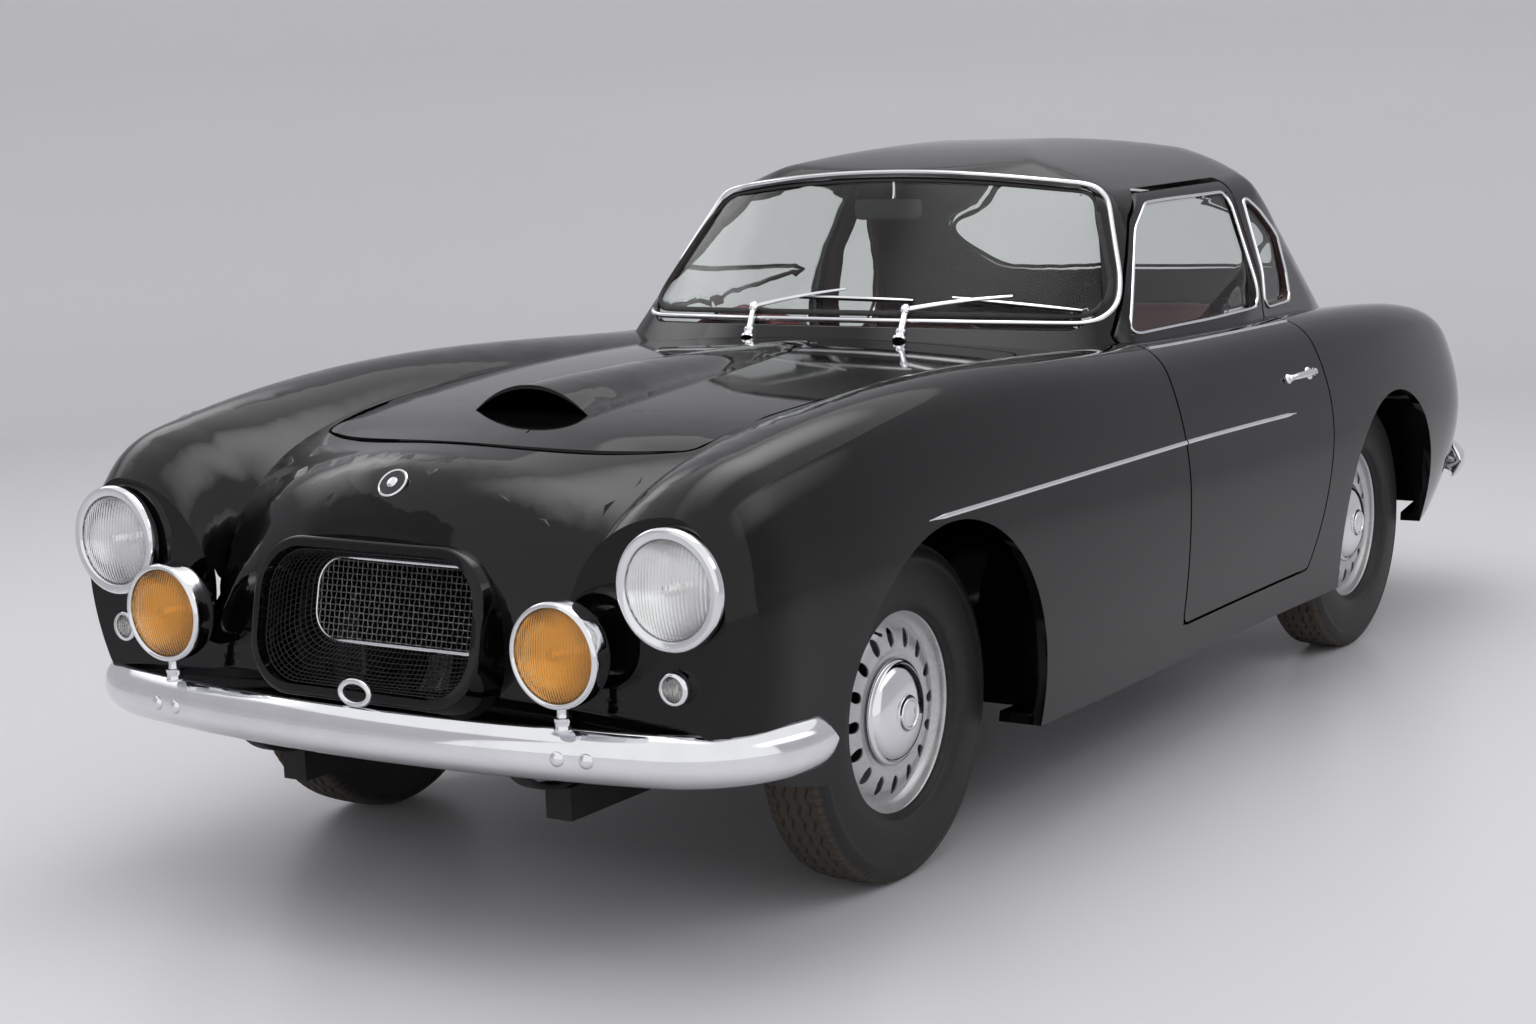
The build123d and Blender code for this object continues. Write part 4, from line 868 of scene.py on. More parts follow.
class CoupeColours(bpy.types.PropertyGroup):
    """Colours of the finishes."""

    body: bpy.props.FloatVectorProperty(
        name="Body", description="Colour of the body paint", subtype="COLOR", size=4,
        default=rgb(5, 5, 6), min=0, max=1,
    )
    hide: bpy.props.FloatVectorProperty(
        name="Leather", description="Colour of the seats", subtype="COLOR", size=4,
        default=rgb(104, 20, 30), min=0, max=1,
    )
    lining: bpy.props.FloatVectorProperty(
        name="Headlining", description="Colour of the roof lining", subtype="COLOR", size=4,
        default=rgb(72, 48, 50), min=0, max=1,
    )
    fog_glass: bpy.props.FloatVectorProperty(
        name="Fog lamp glass", description="Colour of the fog lamps", subtype="COLOR", size=4,
        default=rgb(250, 206, 122), min=0, max=1,
    )
    studio: bpy.props.FloatVectorProperty(
        name="Studio", description="Colour of the floor and backdrop", subtype="COLOR", size=4,
        default=rgb(210, 209, 212), min=0, max=1,
    )


def sizes():
    return bpy.context.scene.coupe_sizes


def colours():
    return bpy.context.scene.coupe_colours


def hide_leather():
    c = tuple(colours().hide)
    return leather("seat leather", c, darker(c, 0.62))


def dark_steel():
    return steel("sooty steel", rgb(30, 30, 31), rgb(17, 17, 18), 0.3, 0.55, dusty=0.08)


# ---------------------------------------------------------------- painted panels


def facing_in(centre, limit=0.0):
    """Finish chooser: 1 where a face looks towards the cabin's middle, 0 elsewhere."""

    def choose(middle, normal):
        inward = np.asarray(centre) - middle
        inward[:, 0] *= 0.35
        inward /= np.linalg.norm(inward, axis=1, keepdims=True)
        return ((inward * normal).sum(1) > limit).astype(int)

    return choose


class COUPE_OT_panels(bpy.types.Operator):
    """Painted panels: each is a cut panel evened out on the worked-out skin"""

    bl_idname = "coupe.panels"
    bl_label = "Painted panels"

    def execute(self, context):
        coat = paint(colour=tuple(colours().body))
        tone = tuple(colours().lining)
        lining = cloth("roof lining", tone, darker(tone, 0.8))
        hide = hide_leather()
        carpet = cloth("floor carpet", rgb(74, 20, 26), rgb(48, 12, 16), 500.0, 0.5)
        under = dark_steel()

        def cabin_side(middle, normal):
            inward = (normal[:, 1] * np.sign(middle[:, 1]) < -0.35) & (middle[:, 2] < 0.99)
            return np.where(inward, 1, 0)

        def floor_side(middle, normal):
            inside = (np.abs(middle[:, 1]) < 0.79) & (middle[:, 2] < 0.97)
            up = inside & (normal[:, 2] > 0.2) & (middle[:, 0] > -1.02)
            walls = inside & (np.abs(normal[:, 0]) > 0.7) & (middle[:, 0] > -1.03)
            low = (normal[:, 2] < -0.2) & (np.abs(middle[:, 1]) < 0.8)
            return np.where(low, 2, np.where(up | walls, 1, 0))

        def shell_side(middle, normal):
            inner = (np.abs(middle[:, 1]) < 0.80) & (normal[:, 2] < 0.1) & (middle[:, 2] < 0.9)
            inner &= (middle[:, 0] < 1.95) & (middle[:, 0] > -1.98)
            inward = (normal[:, 1] * np.sign(middle[:, 1]) < -0.3) & inner
            return np.where(inward, 1, 0)

        panel("front_skin", "front_body", [coat, under], "body", finish=shell_side)
        panel("rear_skin", "rear_body", [coat, under], "body", finish=shell_side)
        panel(
            "sills_and_floor", "floor_and_sills", [coat, carpet, under], "body",
            finish=floor_side,
        )
        panel(
            "roof_skin", "roof", [coat, lining], "body", limit=0.026, rounds=26, on_skin=False,
            finish=facing_in((-0.4, 0, 1.08), 0.15),
        )
        panel("bonnet_skin", "bonnet", [coat, under], "bonnet", reach=0.0022)
        panel("boot_lid_skin", "boot_lid", [coat, under], "boot_lid")
        for side in ("left", "right"):
            panel(
                "door_skin_" + side, "door_" + side, [coat, hide], "door_" + side, limit=0.026,
                finish=cabin_side,
            )
        return {"FINISHED"}


class COUPE_OT_glass(bpy.types.Operator):
    """Window glass: refined copies with even normals"""

    bl_idname = "coupe.glass"
    bl_label = "Window glass"

    def execute(self, context):
        glass = clear_glass()
        for name, node, body in (
            ("windscreen_glass", "windscreen", "body"),
            ("rear_window_glass", "rear_window", "body"),
            ("quarter_glass", "quarter_windows", "body"),
            ("door_window_left", "door_glass_left", "door_left"),
            ("door_window_right", "door_glass_right", "door_right"),
        ):
            panel(name, node, [glass], body, limit=0.045, rounds=12, on_skin=False)
        return {"FINISHED"}


# ---------------------------------------------------------------- wheels

CORNERS = {
    "front_left": (FRONT_AXLE, 0.660), "front_right": (FRONT_AXLE, -0.660),
    "rear_left": (REAR_AXLE, 0.675), "rear_right": (REAR_AXLE, -0.675),
}


def tyre_surface(centre, axis, depth):
    """Tyre: a side curve of (radius, height) turned about the axle, its tread cut by grooves."""
    side = np.array(
        [
            (0.2035, 0.0525), (0.2090, 0.0580), (0.2135, 0.0655), (0.2200, 0.0690), (0.2240, 0.0705),
            (0.2270, 0.0700), (0.2300, 0.0720), (0.2450, 0.0742), (0.2650, 0.0748), (0.2850, 0.0742),
            (0.3000, 0.0728), (0.3040, 0.0722), (0.3060, 0.0735), (0.3120, 0.0728), (0.3160, 0.0712),
            (0.3240, 0.0680), (0.3310, 0.0640), (0.3360, 0.0600),
        ]
    )
    side = curve_through(side, 34)
    across = np.linspace(0.0575, -0.0575, 47)
    crown = 0.343 - 0.0035 * (np.abs(across) / 0.0575) ** 2.5
    crown[0] = crown[-1] = 0.3385
    profile = np.concatenate([side, np.stack([crown, across], 1), (side * [1, -1])[::-1]])
    inner = np.array([(0.2035, -0.0525), (0.2000, -0.03), (0.2000, 0.03), (0.2035, 0.0525)])
    turns = 720
    grid = revolve(profile, centre, axis, turns)
    angle = np.linspace(0, 2 * math.pi, turns, endpoint=False)[:, None]
    zig = np.abs(np.mod(angle * 54 / (2 * math.pi) * 2, 2) - 1) * 2 - 1
    w = profile[None, :, 1]
    sink = np.zeros((turns, len(profile)))
    for line in (-0.036, -0.013, 0.013, 0.036):
        sink = np.maximum(sink, np.clip(1.6 - np.abs(w - line - zig * 0.0045) / 0.0021, 0, 1))
    cut = np.clip(1.5 - np.abs(np.mod(angle * 108 / (2 * math.pi) + w * 26, 1) - 0.5) / 0.10, 0, 1)
    shoulder = np.clip((np.abs(w) - 0.040) / 0.004, 0, 1) * (profile[None, :, 0] > 0.318)
    sink = np.maximum(sink, cut * shoulder * 0.8)
    on_tread = (profile[None, :, 0] > 0.326).astype(float)
    sink = sink * on_tread
    radial = grid - (np.asarray(centre) + w[..., None] * np.asarray(axis, float))
    radial /= np.linalg.norm(radial, axis=-1, keepdims=True)
    grid = grid - radial * (sink * depth)[..., None]
    made = Surface()
    made.grid(grid, close_rows=True, extra=np.clip((profile[None, :, 0] - 0.330) / 0.006, 0, 1))
    made.grid(revolve(inner, centre, axis, turns), close_rows=True)
    return made


def sector_with_vent(inner, outer, middle, vent, count, height):
    """One sector of the wheel's disc: lines run from an oval vent to the sector's edge, lifted by a curve."""
    s = np.linspace(0, 2 * math.pi, 40, endpoint=False)
    t = np.linspace(0, 1, 9)[:, None]
    half = math.pi / count
    oval = np.stack([middle + vent[0] * np.cos(s), vent[1] * np.sin(s)], 1)
    c, d = np.cos(s), np.sin(s)
    reach = 1 / np.maximum(np.abs(c), np.abs(d))
    along_radius = c * reach * np.where(c > 0, outer - middle, middle - inner)
    box = np.stack([middle + along_radius, d * reach * half], 1)
    edge = np.stack([box[:, 0] * np.cos(box[:, 1]), box[:, 0] * np.sin(box[:, 1])], 1)
    flat = oval[None] * (1 - t[..., None]) + edge[None] * t[..., None]
    radius = np.linalg.norm(flat, axis=-1)
    lift = height(radius) + 0.0016 * np.exp(-((t / 0.13) ** 2)) - 0.002 * np.exp(-((t / 0.05) ** 2))
    return np.concatenate([flat, lift[..., None]], axis=-1)


def wheel_surface(centre, axis, vents):
    """Steel wheel: a rolled rim turned about the axle, and a dished disc of sectors with oval vents."""
    axis = np.asarray(axis, float)
    rim = np.array(
        [
            (0.2205, 0.0560), (0.2180, 0.0550), (0.2080, 0.0525), (0.2040, 0.0480), (0.2030, 0.0200),
            (0.1900, 0.0030), (0.1900, -0.0030), (0.2030, -0.0200), (0.2040, -0.0480), (0.2080, -0.0525),
            (0.2180, -0.0550), (0.2205, -0.0560), (0.2208, -0.0600), (0.2160, -0.0608), (0.2100, -0.0560),
            (0.2000, -0.0500), (0.1985, -0.0220), (0.1850, -0.0040), (0.1835, 0.0140), (0.1860, 0.0210),
            (0.1910, 0.0250), (0.1975, 0.0330), (0.1995, 0.0430), (0.2040, 0.0480), (0.2090, 0.0510),
            (0.2125, 0.0570), (0.2155, 0.0605), (0.2190, 0.0610), (0.2210, 0.0590),
        ]
    )
    rim = curve_through(rim, 110, closed=True)
    made = Surface()
    made.grid(revolve(rim, centre, axis, 128), close_rows=True, close_columns=True)

    def height(r):
        return np.interp(
            r, [0.0, 0.090, 0.100, 0.118, 0.128, 0.140, 0.160, 0.172, 0.1795, 0.186],
            [0.034, 0.034, 0.036, 0.0375, 0.0400, 0.0405, 0.0360, 0.0290, 0.0240, 0.0215],
        )

    side = np.cross(axis, [0, 0, 1.0])
    up = np.array([0, 0, 1.0])

    def place(flat, drop=0.0):
        return (
            np.asarray(centre) + flat[..., :1] * side + flat[..., 1:2] * up + (flat[..., 2:3] - drop) * axis
        )

    disc = 0.0035  # thickness of the disc
    sector = sector_with_vent(0.118, 0.1865, 0.151, (0.0195, 0.0115), vents, height)
    for k in range(vents):
        a = 2 * math.pi * k / vents
        turned = sector.copy()
        turned[..., 0] = sector[..., 0] * math.cos(a) - sector[..., 1] * math.sin(a)
        turned[..., 1] = sector[..., 0] * math.sin(a) + sector[..., 1] * math.cos(a)
        wall = np.stack([place(turned[0]), place(turned[0], disc)])
        made.grid(place(turned), close_columns=True)
        made.grid(place(turned, disc)[::-1], close_columns=True)
        made.grid(wall, close_columns=True)
    plain = np.array(
        [(0.118, height(0.118)), (0.108, 0.0372), (0.096, 0.0362), (0.060, 0.0345), (0.0, 0.0345)]
    )
    made.grid(revolve(plain, centre, axis, 128), close_rows=True)
    made.grid(revolve(plain - [0, disc], centre, axis, 128), close_rows=True)
    spoke = side * 0.35 + up * 0.937
    stem_foot = np.asarray(centre) + 0.1905 * spoke + 0.026 * axis
    lean = axis * 0.93 - spoke * 0.36
    stem = np.array(
        [
            (0, 0), (0.0042, 0), (0.0042, 0.008), (0.0030, 0.010), (0.0030, 0.024), (0.0036, 0.025),
            (0.0036, 0.031), (0, 0.032),
        ]
    )
    made.grid(revolve(stem, stem_foot, lean, 14), close_rows=True, finish=1)
    return made


def cap_surface(centre, axis):
    """Hubcap: a shallow dome with a rolled edge, a raised ring and a plain middle, turned about the axle."""
    profile = np.array(
        [
            (0.0, 0.0412), (0.096, 0.0412), (0.1045, 0.0404), (0.1078, 0.0418), (0.1080, 0.0445),
            (0.1060, 0.0475), (0.1020, 0.0490), (0.0995, 0.0500), (0.0960, 0.0545), (0.0880, 0.0605),
            (0.0760, 0.0655), (0.0620, 0.0690), (0.0480, 0.0712), (0.0385, 0.0722), (0.0352, 0.0735),
            (0.0340, 0.0775), (0.0325, 0.0805), (0.0300, 0.0817), (0.0272, 0.0812), (0.0256, 0.0792),
            (0.0240, 0.0786), (0.0140, 0.0800), (0.0, 0.0806),
        ]
    )
    middle = curve_through(profile[3:-1], 60)
    whole = np.concatenate([profile[:3], middle, profile[-1:]])
    return Surface().grid(revolve(whole, centre, axis, 120), close_rows=True)


class COUPE_OT_wheels(bpy.types.Operator):
    """Tyres, steel wheels and hubcaps at the four corners"""

    bl_idname = "coupe.wheels"
    bl_label = "Wheels"

    def execute(self, context):
        rubber, silver, bright = tyre_rubber(), silver_paint(), chrome()
        for corner, (x, y) in CORNERS.items():
            centre, axis = (x, y, AXLE_HEIGHT), (0, math.copysign(1, y), 0)
            body = corner.split("_")[0] + "_wheel_" + corner.split("_")[1]
            make_piece(
                "tyre_" + corner + "_dressed", tyre_surface(centre, axis, sizes().tread_depth), rubber, body,
                "tyre_" + corner, attribute="tread",
            )
            make_piece(
                "steel_wheel_" + corner, wheel_surface(centre, axis, sizes().vents), [silver, soft_rubber()],
                body, "wheel_" + corner,
            )
            make_piece(
                "chrome_cap_" + corner, cap_surface(centre, axis), bright, body, "hubcap_" + corner
            )
        return {"FINISHED"}


# ---------------------------------------------------------------- bumpers


def arc_points(start, middle, end, count):
    """Points of the flat arc through three points."""
    a, b, c = (np.asarray(p, float)[None] for p in (start, middle, end))
    return arc_through(a, b, c, np.linspace(0, 1, count))[0]


def leaving_arc(start, direction, end, count):
    """The flat arc that leaves start along a direction and reaches end."""
    start, end = np.asarray(start, float), np.asarray(end, float)
    direction = np.asarray(direction, float) / np.linalg.norm(direction)
    chord = end - start
    normal = np.array([-direction[1], direction[0]])
    radius = (chord @ chord) / (2 * (chord @ normal))
    centre = start + normal * radius
    a0 = math.atan2(*(start - centre)[::-1])
    a1 = math.atan2(*(end - centre)[::-1])
    sweep = (a1 - a0 + math.pi) % (2 * math.pi) - math.pi
    a = a0 + sweep * np.linspace(0, 1, count)
    return centre + abs(radius) * np.stack([np.cos(a), np.sin(a)], 1)


def bumper_path(front_x, turn_x, bow_y, tip):
    """Plan of a bumper: a wide bow, then an arc on each side that leaves it smoothly and ends at the tip."""
    bow = arc_points((turn_x, -bow_y), (front_x, 0), (turn_x, bow_y), 90)
    left = leaving_arc(bow[-1], bow[-1] - bow[-2], tip, 44)
    right = left[::-1] * [1, -1]
    plan = np.concatenate([right[:-1], bow, left[1:]])
    return np.concatenate([plan, np.full((len(plan), 1), 0.41)], axis=1)


def blade_profile(outward):
    """Section of a bumper blade: a full, rounded face with rolled edges and a hollow back."""
    up = np.linspace(-1, 1, 31)
    face = -0.030 * np.abs(up) ** 2.6
    edge = np.array([(-0.034, 1.0), (-0.037, 0.95), (-0.034, 0.90)])
    back = face[::-1] * 0.9 - 0.006
    points = np.concatenate(
        [
            np.stack([face, up], 1), edge, np.stack([back, up[::-1] * 0.88], 1), edge[::-1] * [1, -1],
        ]
    )
    return points * [outward, 0.0495]


class COUPE_OT_bumpers(bpy.types.Operator):
    """Chromed bumpers with their bolts and brackets"""

    bl_idname = "coupe.bumpers"
    bl_label = "Bumpers"

    def execute(self, context):
        bright, under = chrome(), dark_steel()
        front_path = bumper_path(2.174, 2.106, 0.650, (1.792, 0.856))
        rear_path = bumper_path(-2.174, -2.120, 0.560, (-1.852, 0.788))
        # node, plan, way it faces, bracket's root and tip along the car, places of the bolts across it
        for node, path, outward, rail, bolts in (
            ("front_bumper", front_path, 1, (1.88, 2.150), (0.482, 0.534)),
            ("rear_bumper", rear_path, -1, (-1.62, -2.150), (0.40, 0.45)),
        ):
            length = np.concatenate([[0], np.cumsum(np.linalg.norm(np.diff(path, axis=0), axis=1))])
            from_end = np.minimum(length, length[-1] - length)
            size = np.sqrt(np.clip(1 - (1 - np.clip(from_end / 0.035, 0, 1)) ** 2, 0.02, 1))
            made = Surface()
            closed_tube(made, along(path, blade_profile(outward), scale=size))
            for y in bolts:
                for side in (-1, 1):
                    row = np.argmin(np.abs(path[:, 1] - side * y))
                    place = path[row]
                    normal = np.cross(path[row + 1] - path[row - 1], [0, 0, 1.0])
                    normal *= math.copysign(1, normal[0] * outward) / np.linalg.norm(normal)
                    dome = np.array(
                        [
                            (0.0145, -0.004), (0.0145, 0.0), (0.0135, 0.0022), (0.0095, 0.0052),
                            (0.0045, 0.0068), (0, 0.0072),
                        ]
                    )
                    made.grid(revolve(dome, place, normal, 28), close_rows=True)
            for side in (-1, 1):
                bar = rounded_box(0.044, 0.012, 0.004, 3)
                root, tip = rail
                rail_y = side * 0.335
                low = curve_through(
                    [
                        (root, rail_y, 0.3064), (tip - 0.17 * outward, rail_y, 0.3064),
                        (tip - 0.10 * outward, rail_y, 0.330), (tip - 0.05 * outward, rail_y, 0.378),
                        (tip - 0.018 * outward, rail_y, 0.402), (tip, rail_y, 0.408),
                    ],
                    40,
                )
                closed_tube(made, along(low, bar, up=(0.0, 0, 1)), finish=1)
            make_piece(node + "_blade", made, [bright, under], "body", node)
        turns = np.linspace(0, 2 * math.pi, 20, endpoint=False)
        ring = curve_through(
            [(2.133, 0.0355 * math.cos(a), 0.484 + 0.0225 * math.sin(a)) for a in turns], 60, True
        )
        made = closed_ring(Surface(), along(ring, circle(0.0065, 12), up=(1, 0, 0), close_path=True))
        make_piece("crank_ring", made, bright, "body")
        return {"FINISHED"}


# ---------------------------------------------------------------- lamps


def lamp_rim(radius, lens, deep):
    """Section of a lamp's chromed rim: a broad rounded band that rolls in to the lens."""
    band = curve_through(
        [
            (radius * 0.90, -deep), (radius * 0.985, -deep * 0.72), (radius, -deep * 0.42), (radius, -0.010),
            (radius - 0.0012, -0.0045), (radius - 0.0040, -0.0008), (radius - 0.0080, 0.0005),
            (lens + 0.0060, -0.0006), (lens + 0.0030, -0.0022), (lens + 0.0012, -0.0050),
            (lens + 0.0008, -0.0090),
        ],
        46,
    )
    return np.concatenate([band, [(lens + 0.0008, -deep)]])


def lamp_surface(lamp, direction, bulb=True):
    """A lamp turned about its axis: rim, dished reflector with a bulb cup, and a domed lens."""
    x, y, z, radius, lens, deep = lamp
    centre, axis = (x, y, z), (direction, 0, 0)
    made, front = Surface(), Surface()
    made.grid(revolve(lamp_rim(radius, lens, deep), centre, axis, 96), close_rows=True, close_columns=True)
    r = np.linspace(0, lens + 0.0006, 22)
    dish = min(deep - 0.003, 0.026)
    bowl = np.stack([r, -dish + (dish - 0.010) * (r / lens) ** 2], 1)
    made.grid(revolve(bowl, centre, axis, 72), close_rows=True, finish=1)
    if bulb:
        cup = np.array(
            [(0.0, -0.0075), (0.006, -0.008), (0.0095, -0.010), (0.011, -0.013), (0.011, -dish + 0.001)]
        )
        made.grid(revolve(cup, centre, axis, 24), close_rows=True, finish=1)
    r = np.linspace(0, lens, 30)
    face = np.stack([r, 0.165 * lens * (1 - (r / lens) ** 2) - 0.0062 * (r / lens) ** 2], 1)
    back = np.stack([r, 0.165 * lens * (1 - (r / lens) ** 2) - 0.0095], 1)
    back[-1, 1] = -0.0098
    front.grid(revolve(np.concatenate([face, back[::-1]]), centre, axis, 96), close_rows=True)
    return made, front


class COUPE_OT_lamps(bpy.types.Operator):
    """Headlamps, fog lamps, side lamps and tail lamps"""

    bl_idname = "coupe.lamps"
    bl_label = "Lamps"

    def execute(self, context):
        bright = chrome()
        mirror_bowl = chrome("lamp reflector", (0.93, 0.93, 0.92, 1.0), 0.16)
        amber = tuple(colours().fog_glass)
        fog_bowl = chrome("fog lamp reflector", (0.92, 0.90, 0.86, 1.0), 0.18)
        head_glass = fluted_glass("headlamp glass", (0.98, 0.985, 0.99, 1.0), 0.0075, 0.16)
        fog_glass = fluted_glass("fog lamp glass", amber, 0.0060, 0.20)
        small = fluted_glass("side lamp glass", (0.90, 0.90, 0.88, 1.0), 0.0045, 0.8)
        red = fluted_glass("tail lamp glass", rgb(236, 96, 34), 0.0050, 0.8)
        head = (2.076, 0.686, 0.720, 0.112, 0.089, 0.0307)
        fog = (2.150, 0.484, 0.600, 0.098, 0.085, 0.062)
        side_lamp = (2.066, 0.683, 0.541, 0.032, 0.022, 0.0207)
        tail = (-2.078, 0.590, 0.625, 0.038, 0.028, 0.018)

        def both(surface):
            return surface.copies(mirrored)

        lenses, small_lenses = Surface(), Surface()

        made, front = lamp_surface(head, 1)
        screw = np.array([(0.004, 0), (0.0036, 0.0018), (0, 0.0026)])
        screw_place = (head[0] + 0.0004, head[1], head[2] - head[3] + 0.0115)
        made.grid(revolve(screw, screw_place, (1, 0, 0), 12), close_rows=True)
        make_piece("headlamp_bodies", both(made), [bright, mirror_bowl], "body", "headlamps")
        for points in front.points:
            lenses.grid(points.reshape(96, -1, 3), close_rows=True)

        made, front = lamp_surface(fog, 1)
        x, y, z, _, _, deep = fog
        shell = curve_through(
            [
                (0, -deep), (0.030, -deep + 0.001), (0.055, -deep + 0.008), (0.074, -deep + 0.022),
                (0.086, -deep + 0.040), (0.0885, -0.012),
            ],
            30,
        )
        made.grid(revolve(shell, (x, y, z), (1, 0, 0), 64), close_rows=True)
        foot = np.array(
            [
                (0, 0.460), (0.017, 0.460), (0.0175, 0.464), (0.015, 0.467), (0.015, 0.476), (0.0165, 0.478),
                (0.0165, 0.484), (0.0115, 0.486), (0.0105, 0.492), (0.0105, 0.515), (0, 0.515),
            ]
        )
        made.grid(revolve(foot, (x - deep * 0.42, y, 0), (0, 0, 1), 24), close_rows=True)
        make_piece("fog_lamp_bodies", both(made), [bright, fog_bowl], "body", "fog_lamps")
        for points in front.points:
            lenses.grid(points.reshape(96, -1, 3), close_rows=True, finish=1)
        glasses = [head_glass, fog_glass]
        make_piece("lamp_glasses", both(lenses), glasses, "body", "lamp_lenses")

        for lamp, direction, node, finish in ((side_lamp, 1, "side_lamps", 0), (tail, -1, "tail_lamps", 1)):
            made, front = lamp_surface(lamp, direction, bulb=False)
            make_piece(node[:-1] + "_bodies", both(made), [bright, mirror_bowl], "body", node)
            for points in front.points:
                small_lenses.grid(points.reshape(96, -1, 3), close_rows=True, finish=finish)
        make_piece("small_glasses", both(small_lenses), [small, red], "body", "small_lenses")
        return {"FINISHED"}


# ---------------------------------------------------------------- grille

LEAN = math.radians(12.4)
MOUTH_OUT = np.array([math.cos(LEAN), 0, math.sin(LEAN)])
MOUTH_UP = np.array([-math.sin(LEAN), 0, math.cos(LEAN)])
MOUTH = np.array([2.103, 0, 0.615])


def in_mouth(across, up, depth):
    """A point given across, up and behind the leaning plane of the mouth."""
    across, up, depth = np.broadcast_arrays(across, up, depth)
    sideways = across[..., None] * np.array([0, 1.0, 0])
    return MOUTH + sideways + up[..., None] * MOUTH_UP - depth[..., None] * MOUTH_OUT


def half_chord(at, half_a, half_b, corner):
    """Half the length of a rounded rectangle's chord, at a distance from its middle line."""
    into = np.clip(np.abs(at) - (half_a - corner), 0, corner)
    return half_b - corner + np.sqrt(np.maximum(corner**2 - into**2, 0))


class COUPE_OT_grille(bpy.types.Operator):
    """Woven wire mesh in its bright frame, set back in the mouth"""

    bl_idname = "coupe.grille"
    bl_label = "Grille"

    def execute(self, context):
        wire = steel("mesh wire", rgb(150, 150, 152), rgb(96, 96, 98), 0.9, 0.3, 60.0, 0.1)
        dark_wire = steel("duct mesh", rgb(58, 58, 60), rgb(34, 34, 36), 0.6, 0.4, 60.0, 0.1)
        made = Surface()
        pitch, thick = sizes().mesh_pitch, sizes().mesh_wire / 2
        half_w, half_h, corner, rise, depth = 0.222, 0.082, 0.060, 0.036, 0.1175
        ring = circle(thick, 5)
        for vertical, half_a, half_b in ((True, half_w, half_h), (False, half_h, half_w)):
            count = int(half_a / pitch)
            for k in range(-count, count + 1):
                at = k * pitch
                half = half_chord(at, half_a, half_b, corner)
                run = np.linspace(-half, half, max(9, int(2 * half / pitch * 4) + 1))
                sign = (1 if k % 2 else -1) * (1 if vertical else -1)
                wave = sign * thick * 0.9 * np.cos(math.pi * run / pitch)
                a, b = (np.full_like(run, at), run) if vertical else (run, np.full_like(run, at))
                made.grid(along(in_mouth(a, b + rise, depth + wave), ring, up=MOUTH_OUT), close_columns=True)
        path = dense(rounded_box(2 * half_w, 2 * half_h, corner, 14), 0.008)
        edge, bar = in_mouth(path[:, 0], path[:, 1] + rise, depth), rounded_box(0.008, 0.008, 0.0025, 3)
        closed_ring(made, along(edge, bar, up=MOUTH_OUT, close_path=True), finish=1)
        self.funnel(made, half_w, half_h, corner, rise, depth)
        make_piece("grille_mesh", made, [wire, chrome(), dark_wire], "body", "grille")
        return {"FINISHED"}

    def funnel(self, made, half_w, half_h, corner, rise, depth):
        """Mesh that lines the duct: rings and long wires between the mouth's edge and the grille's frame."""
        count = 112
        mouth = even_outline(rounded_box(0.520, 0.256, 0.088, 14), count)
        inner = even_outline(rounded_box(2 * half_w, 2 * half_h, corner, 14) + [0, rise], count)
        t = np.linspace(0, 1, 12)[:, None]
        bulge = np.sin(math.pi * t) * 0.012
        across = mouth[None, :, 0] * (1 - t) + inner[None, :, 0] * t
        up = mouth[None, :, 1] * (1 - t) + inner[None, :, 1] * t
        away = np.stack([across, up], -1) / np.linalg.norm(np.stack([across, up], -1), axis=-1, keepdims=True)
        start, wire = 0.022, circle(0.0012, 5)
        grid = in_mouth(across + away[..., 0] * bulge, up + away[..., 1] * bulge, start + (depth - start) * t)
        for row in grid[:-1]:
            closed_ring(made, along(row, wire, up=MOUTH_OUT, close_path=True), finish=2)
        for k in range(count):
            made.grid(along(grid[:, k], wire, up=(0.02, 0.01, 1.0)), close_columns=True, finish=2)


def even_outline(points, count):
    """The same closed outline with a number of evenly spaced points."""
    p = np.concatenate([points, points[:1]])
    length = np.concatenate([[0], np.cumsum(np.linalg.norm(np.diff(p, axis=0), axis=1))])
    at = np.linspace(0, length[-1], count, endpoint=False)
    return np.stack([np.interp(at, length, p[:, k]) for k in range(2)], 1)


# ---------------------------------------------------------------- bright trim


def shell_tree(nodes):
    """A search tree over CAD nodes at rest, for laying trim on them."""
    from mathutils.bvhtree import BVHTree

    points, triangles = [], []
    count = 0
    for node in nodes:
        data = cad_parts[node].data
        co = np.zeros(len(data.vertices) * 3)
        data.vertices.foreach_get("co", co)
        data.calc_loop_triangles()
        tri = np.zeros(len(data.loop_triangles) * 3, int)
        data.loop_triangles.foreach_get("vertices", tri)
        points.append(co.reshape(-1, 3))
        triangles.append(tri.reshape(-1, 3) + count)
        count += len(co) // 3
    return BVHTree.FromPolygons(np.concatenate(points).tolist(), np.concatenate(triangles).tolist())


def lay_on(tree, starts, direction):
    """Where straight lines from the starts first meet the shell, and the faces' normals there.

    A line that slips through a gap stands out from its neighbours' median and is filled in from them.
    """
    starts, way = np.asarray(starts, float), Vector(direction)
    reach, normals = np.full(len(starts), np.nan), np.zeros((len(starts), 3))
    for k, start in enumerate(starts):
        _, normal, _, far = tree.ray_cast(Vector(start), way)
        if far is not None:
            reach[k] = far
            normals[k] = normal if normal.dot(way) < 0 else -normal
    padded = np.pad(reach, 6, mode="edge")
    middle = np.nanmedian([padded[k : k + len(reach)] for k in range(13)], axis=0)
    good = np.flatnonzero(np.abs(reach - middle) < 0.02)
    row = np.arange(len(reach))
    reach = np.interp(row, good, reach[good])
    normals = np.stack([np.interp(row, good, normals[good, axis]) for axis in range(3)], 1)
    return starts + reach[:, None] * np.asarray(direction, float), normals


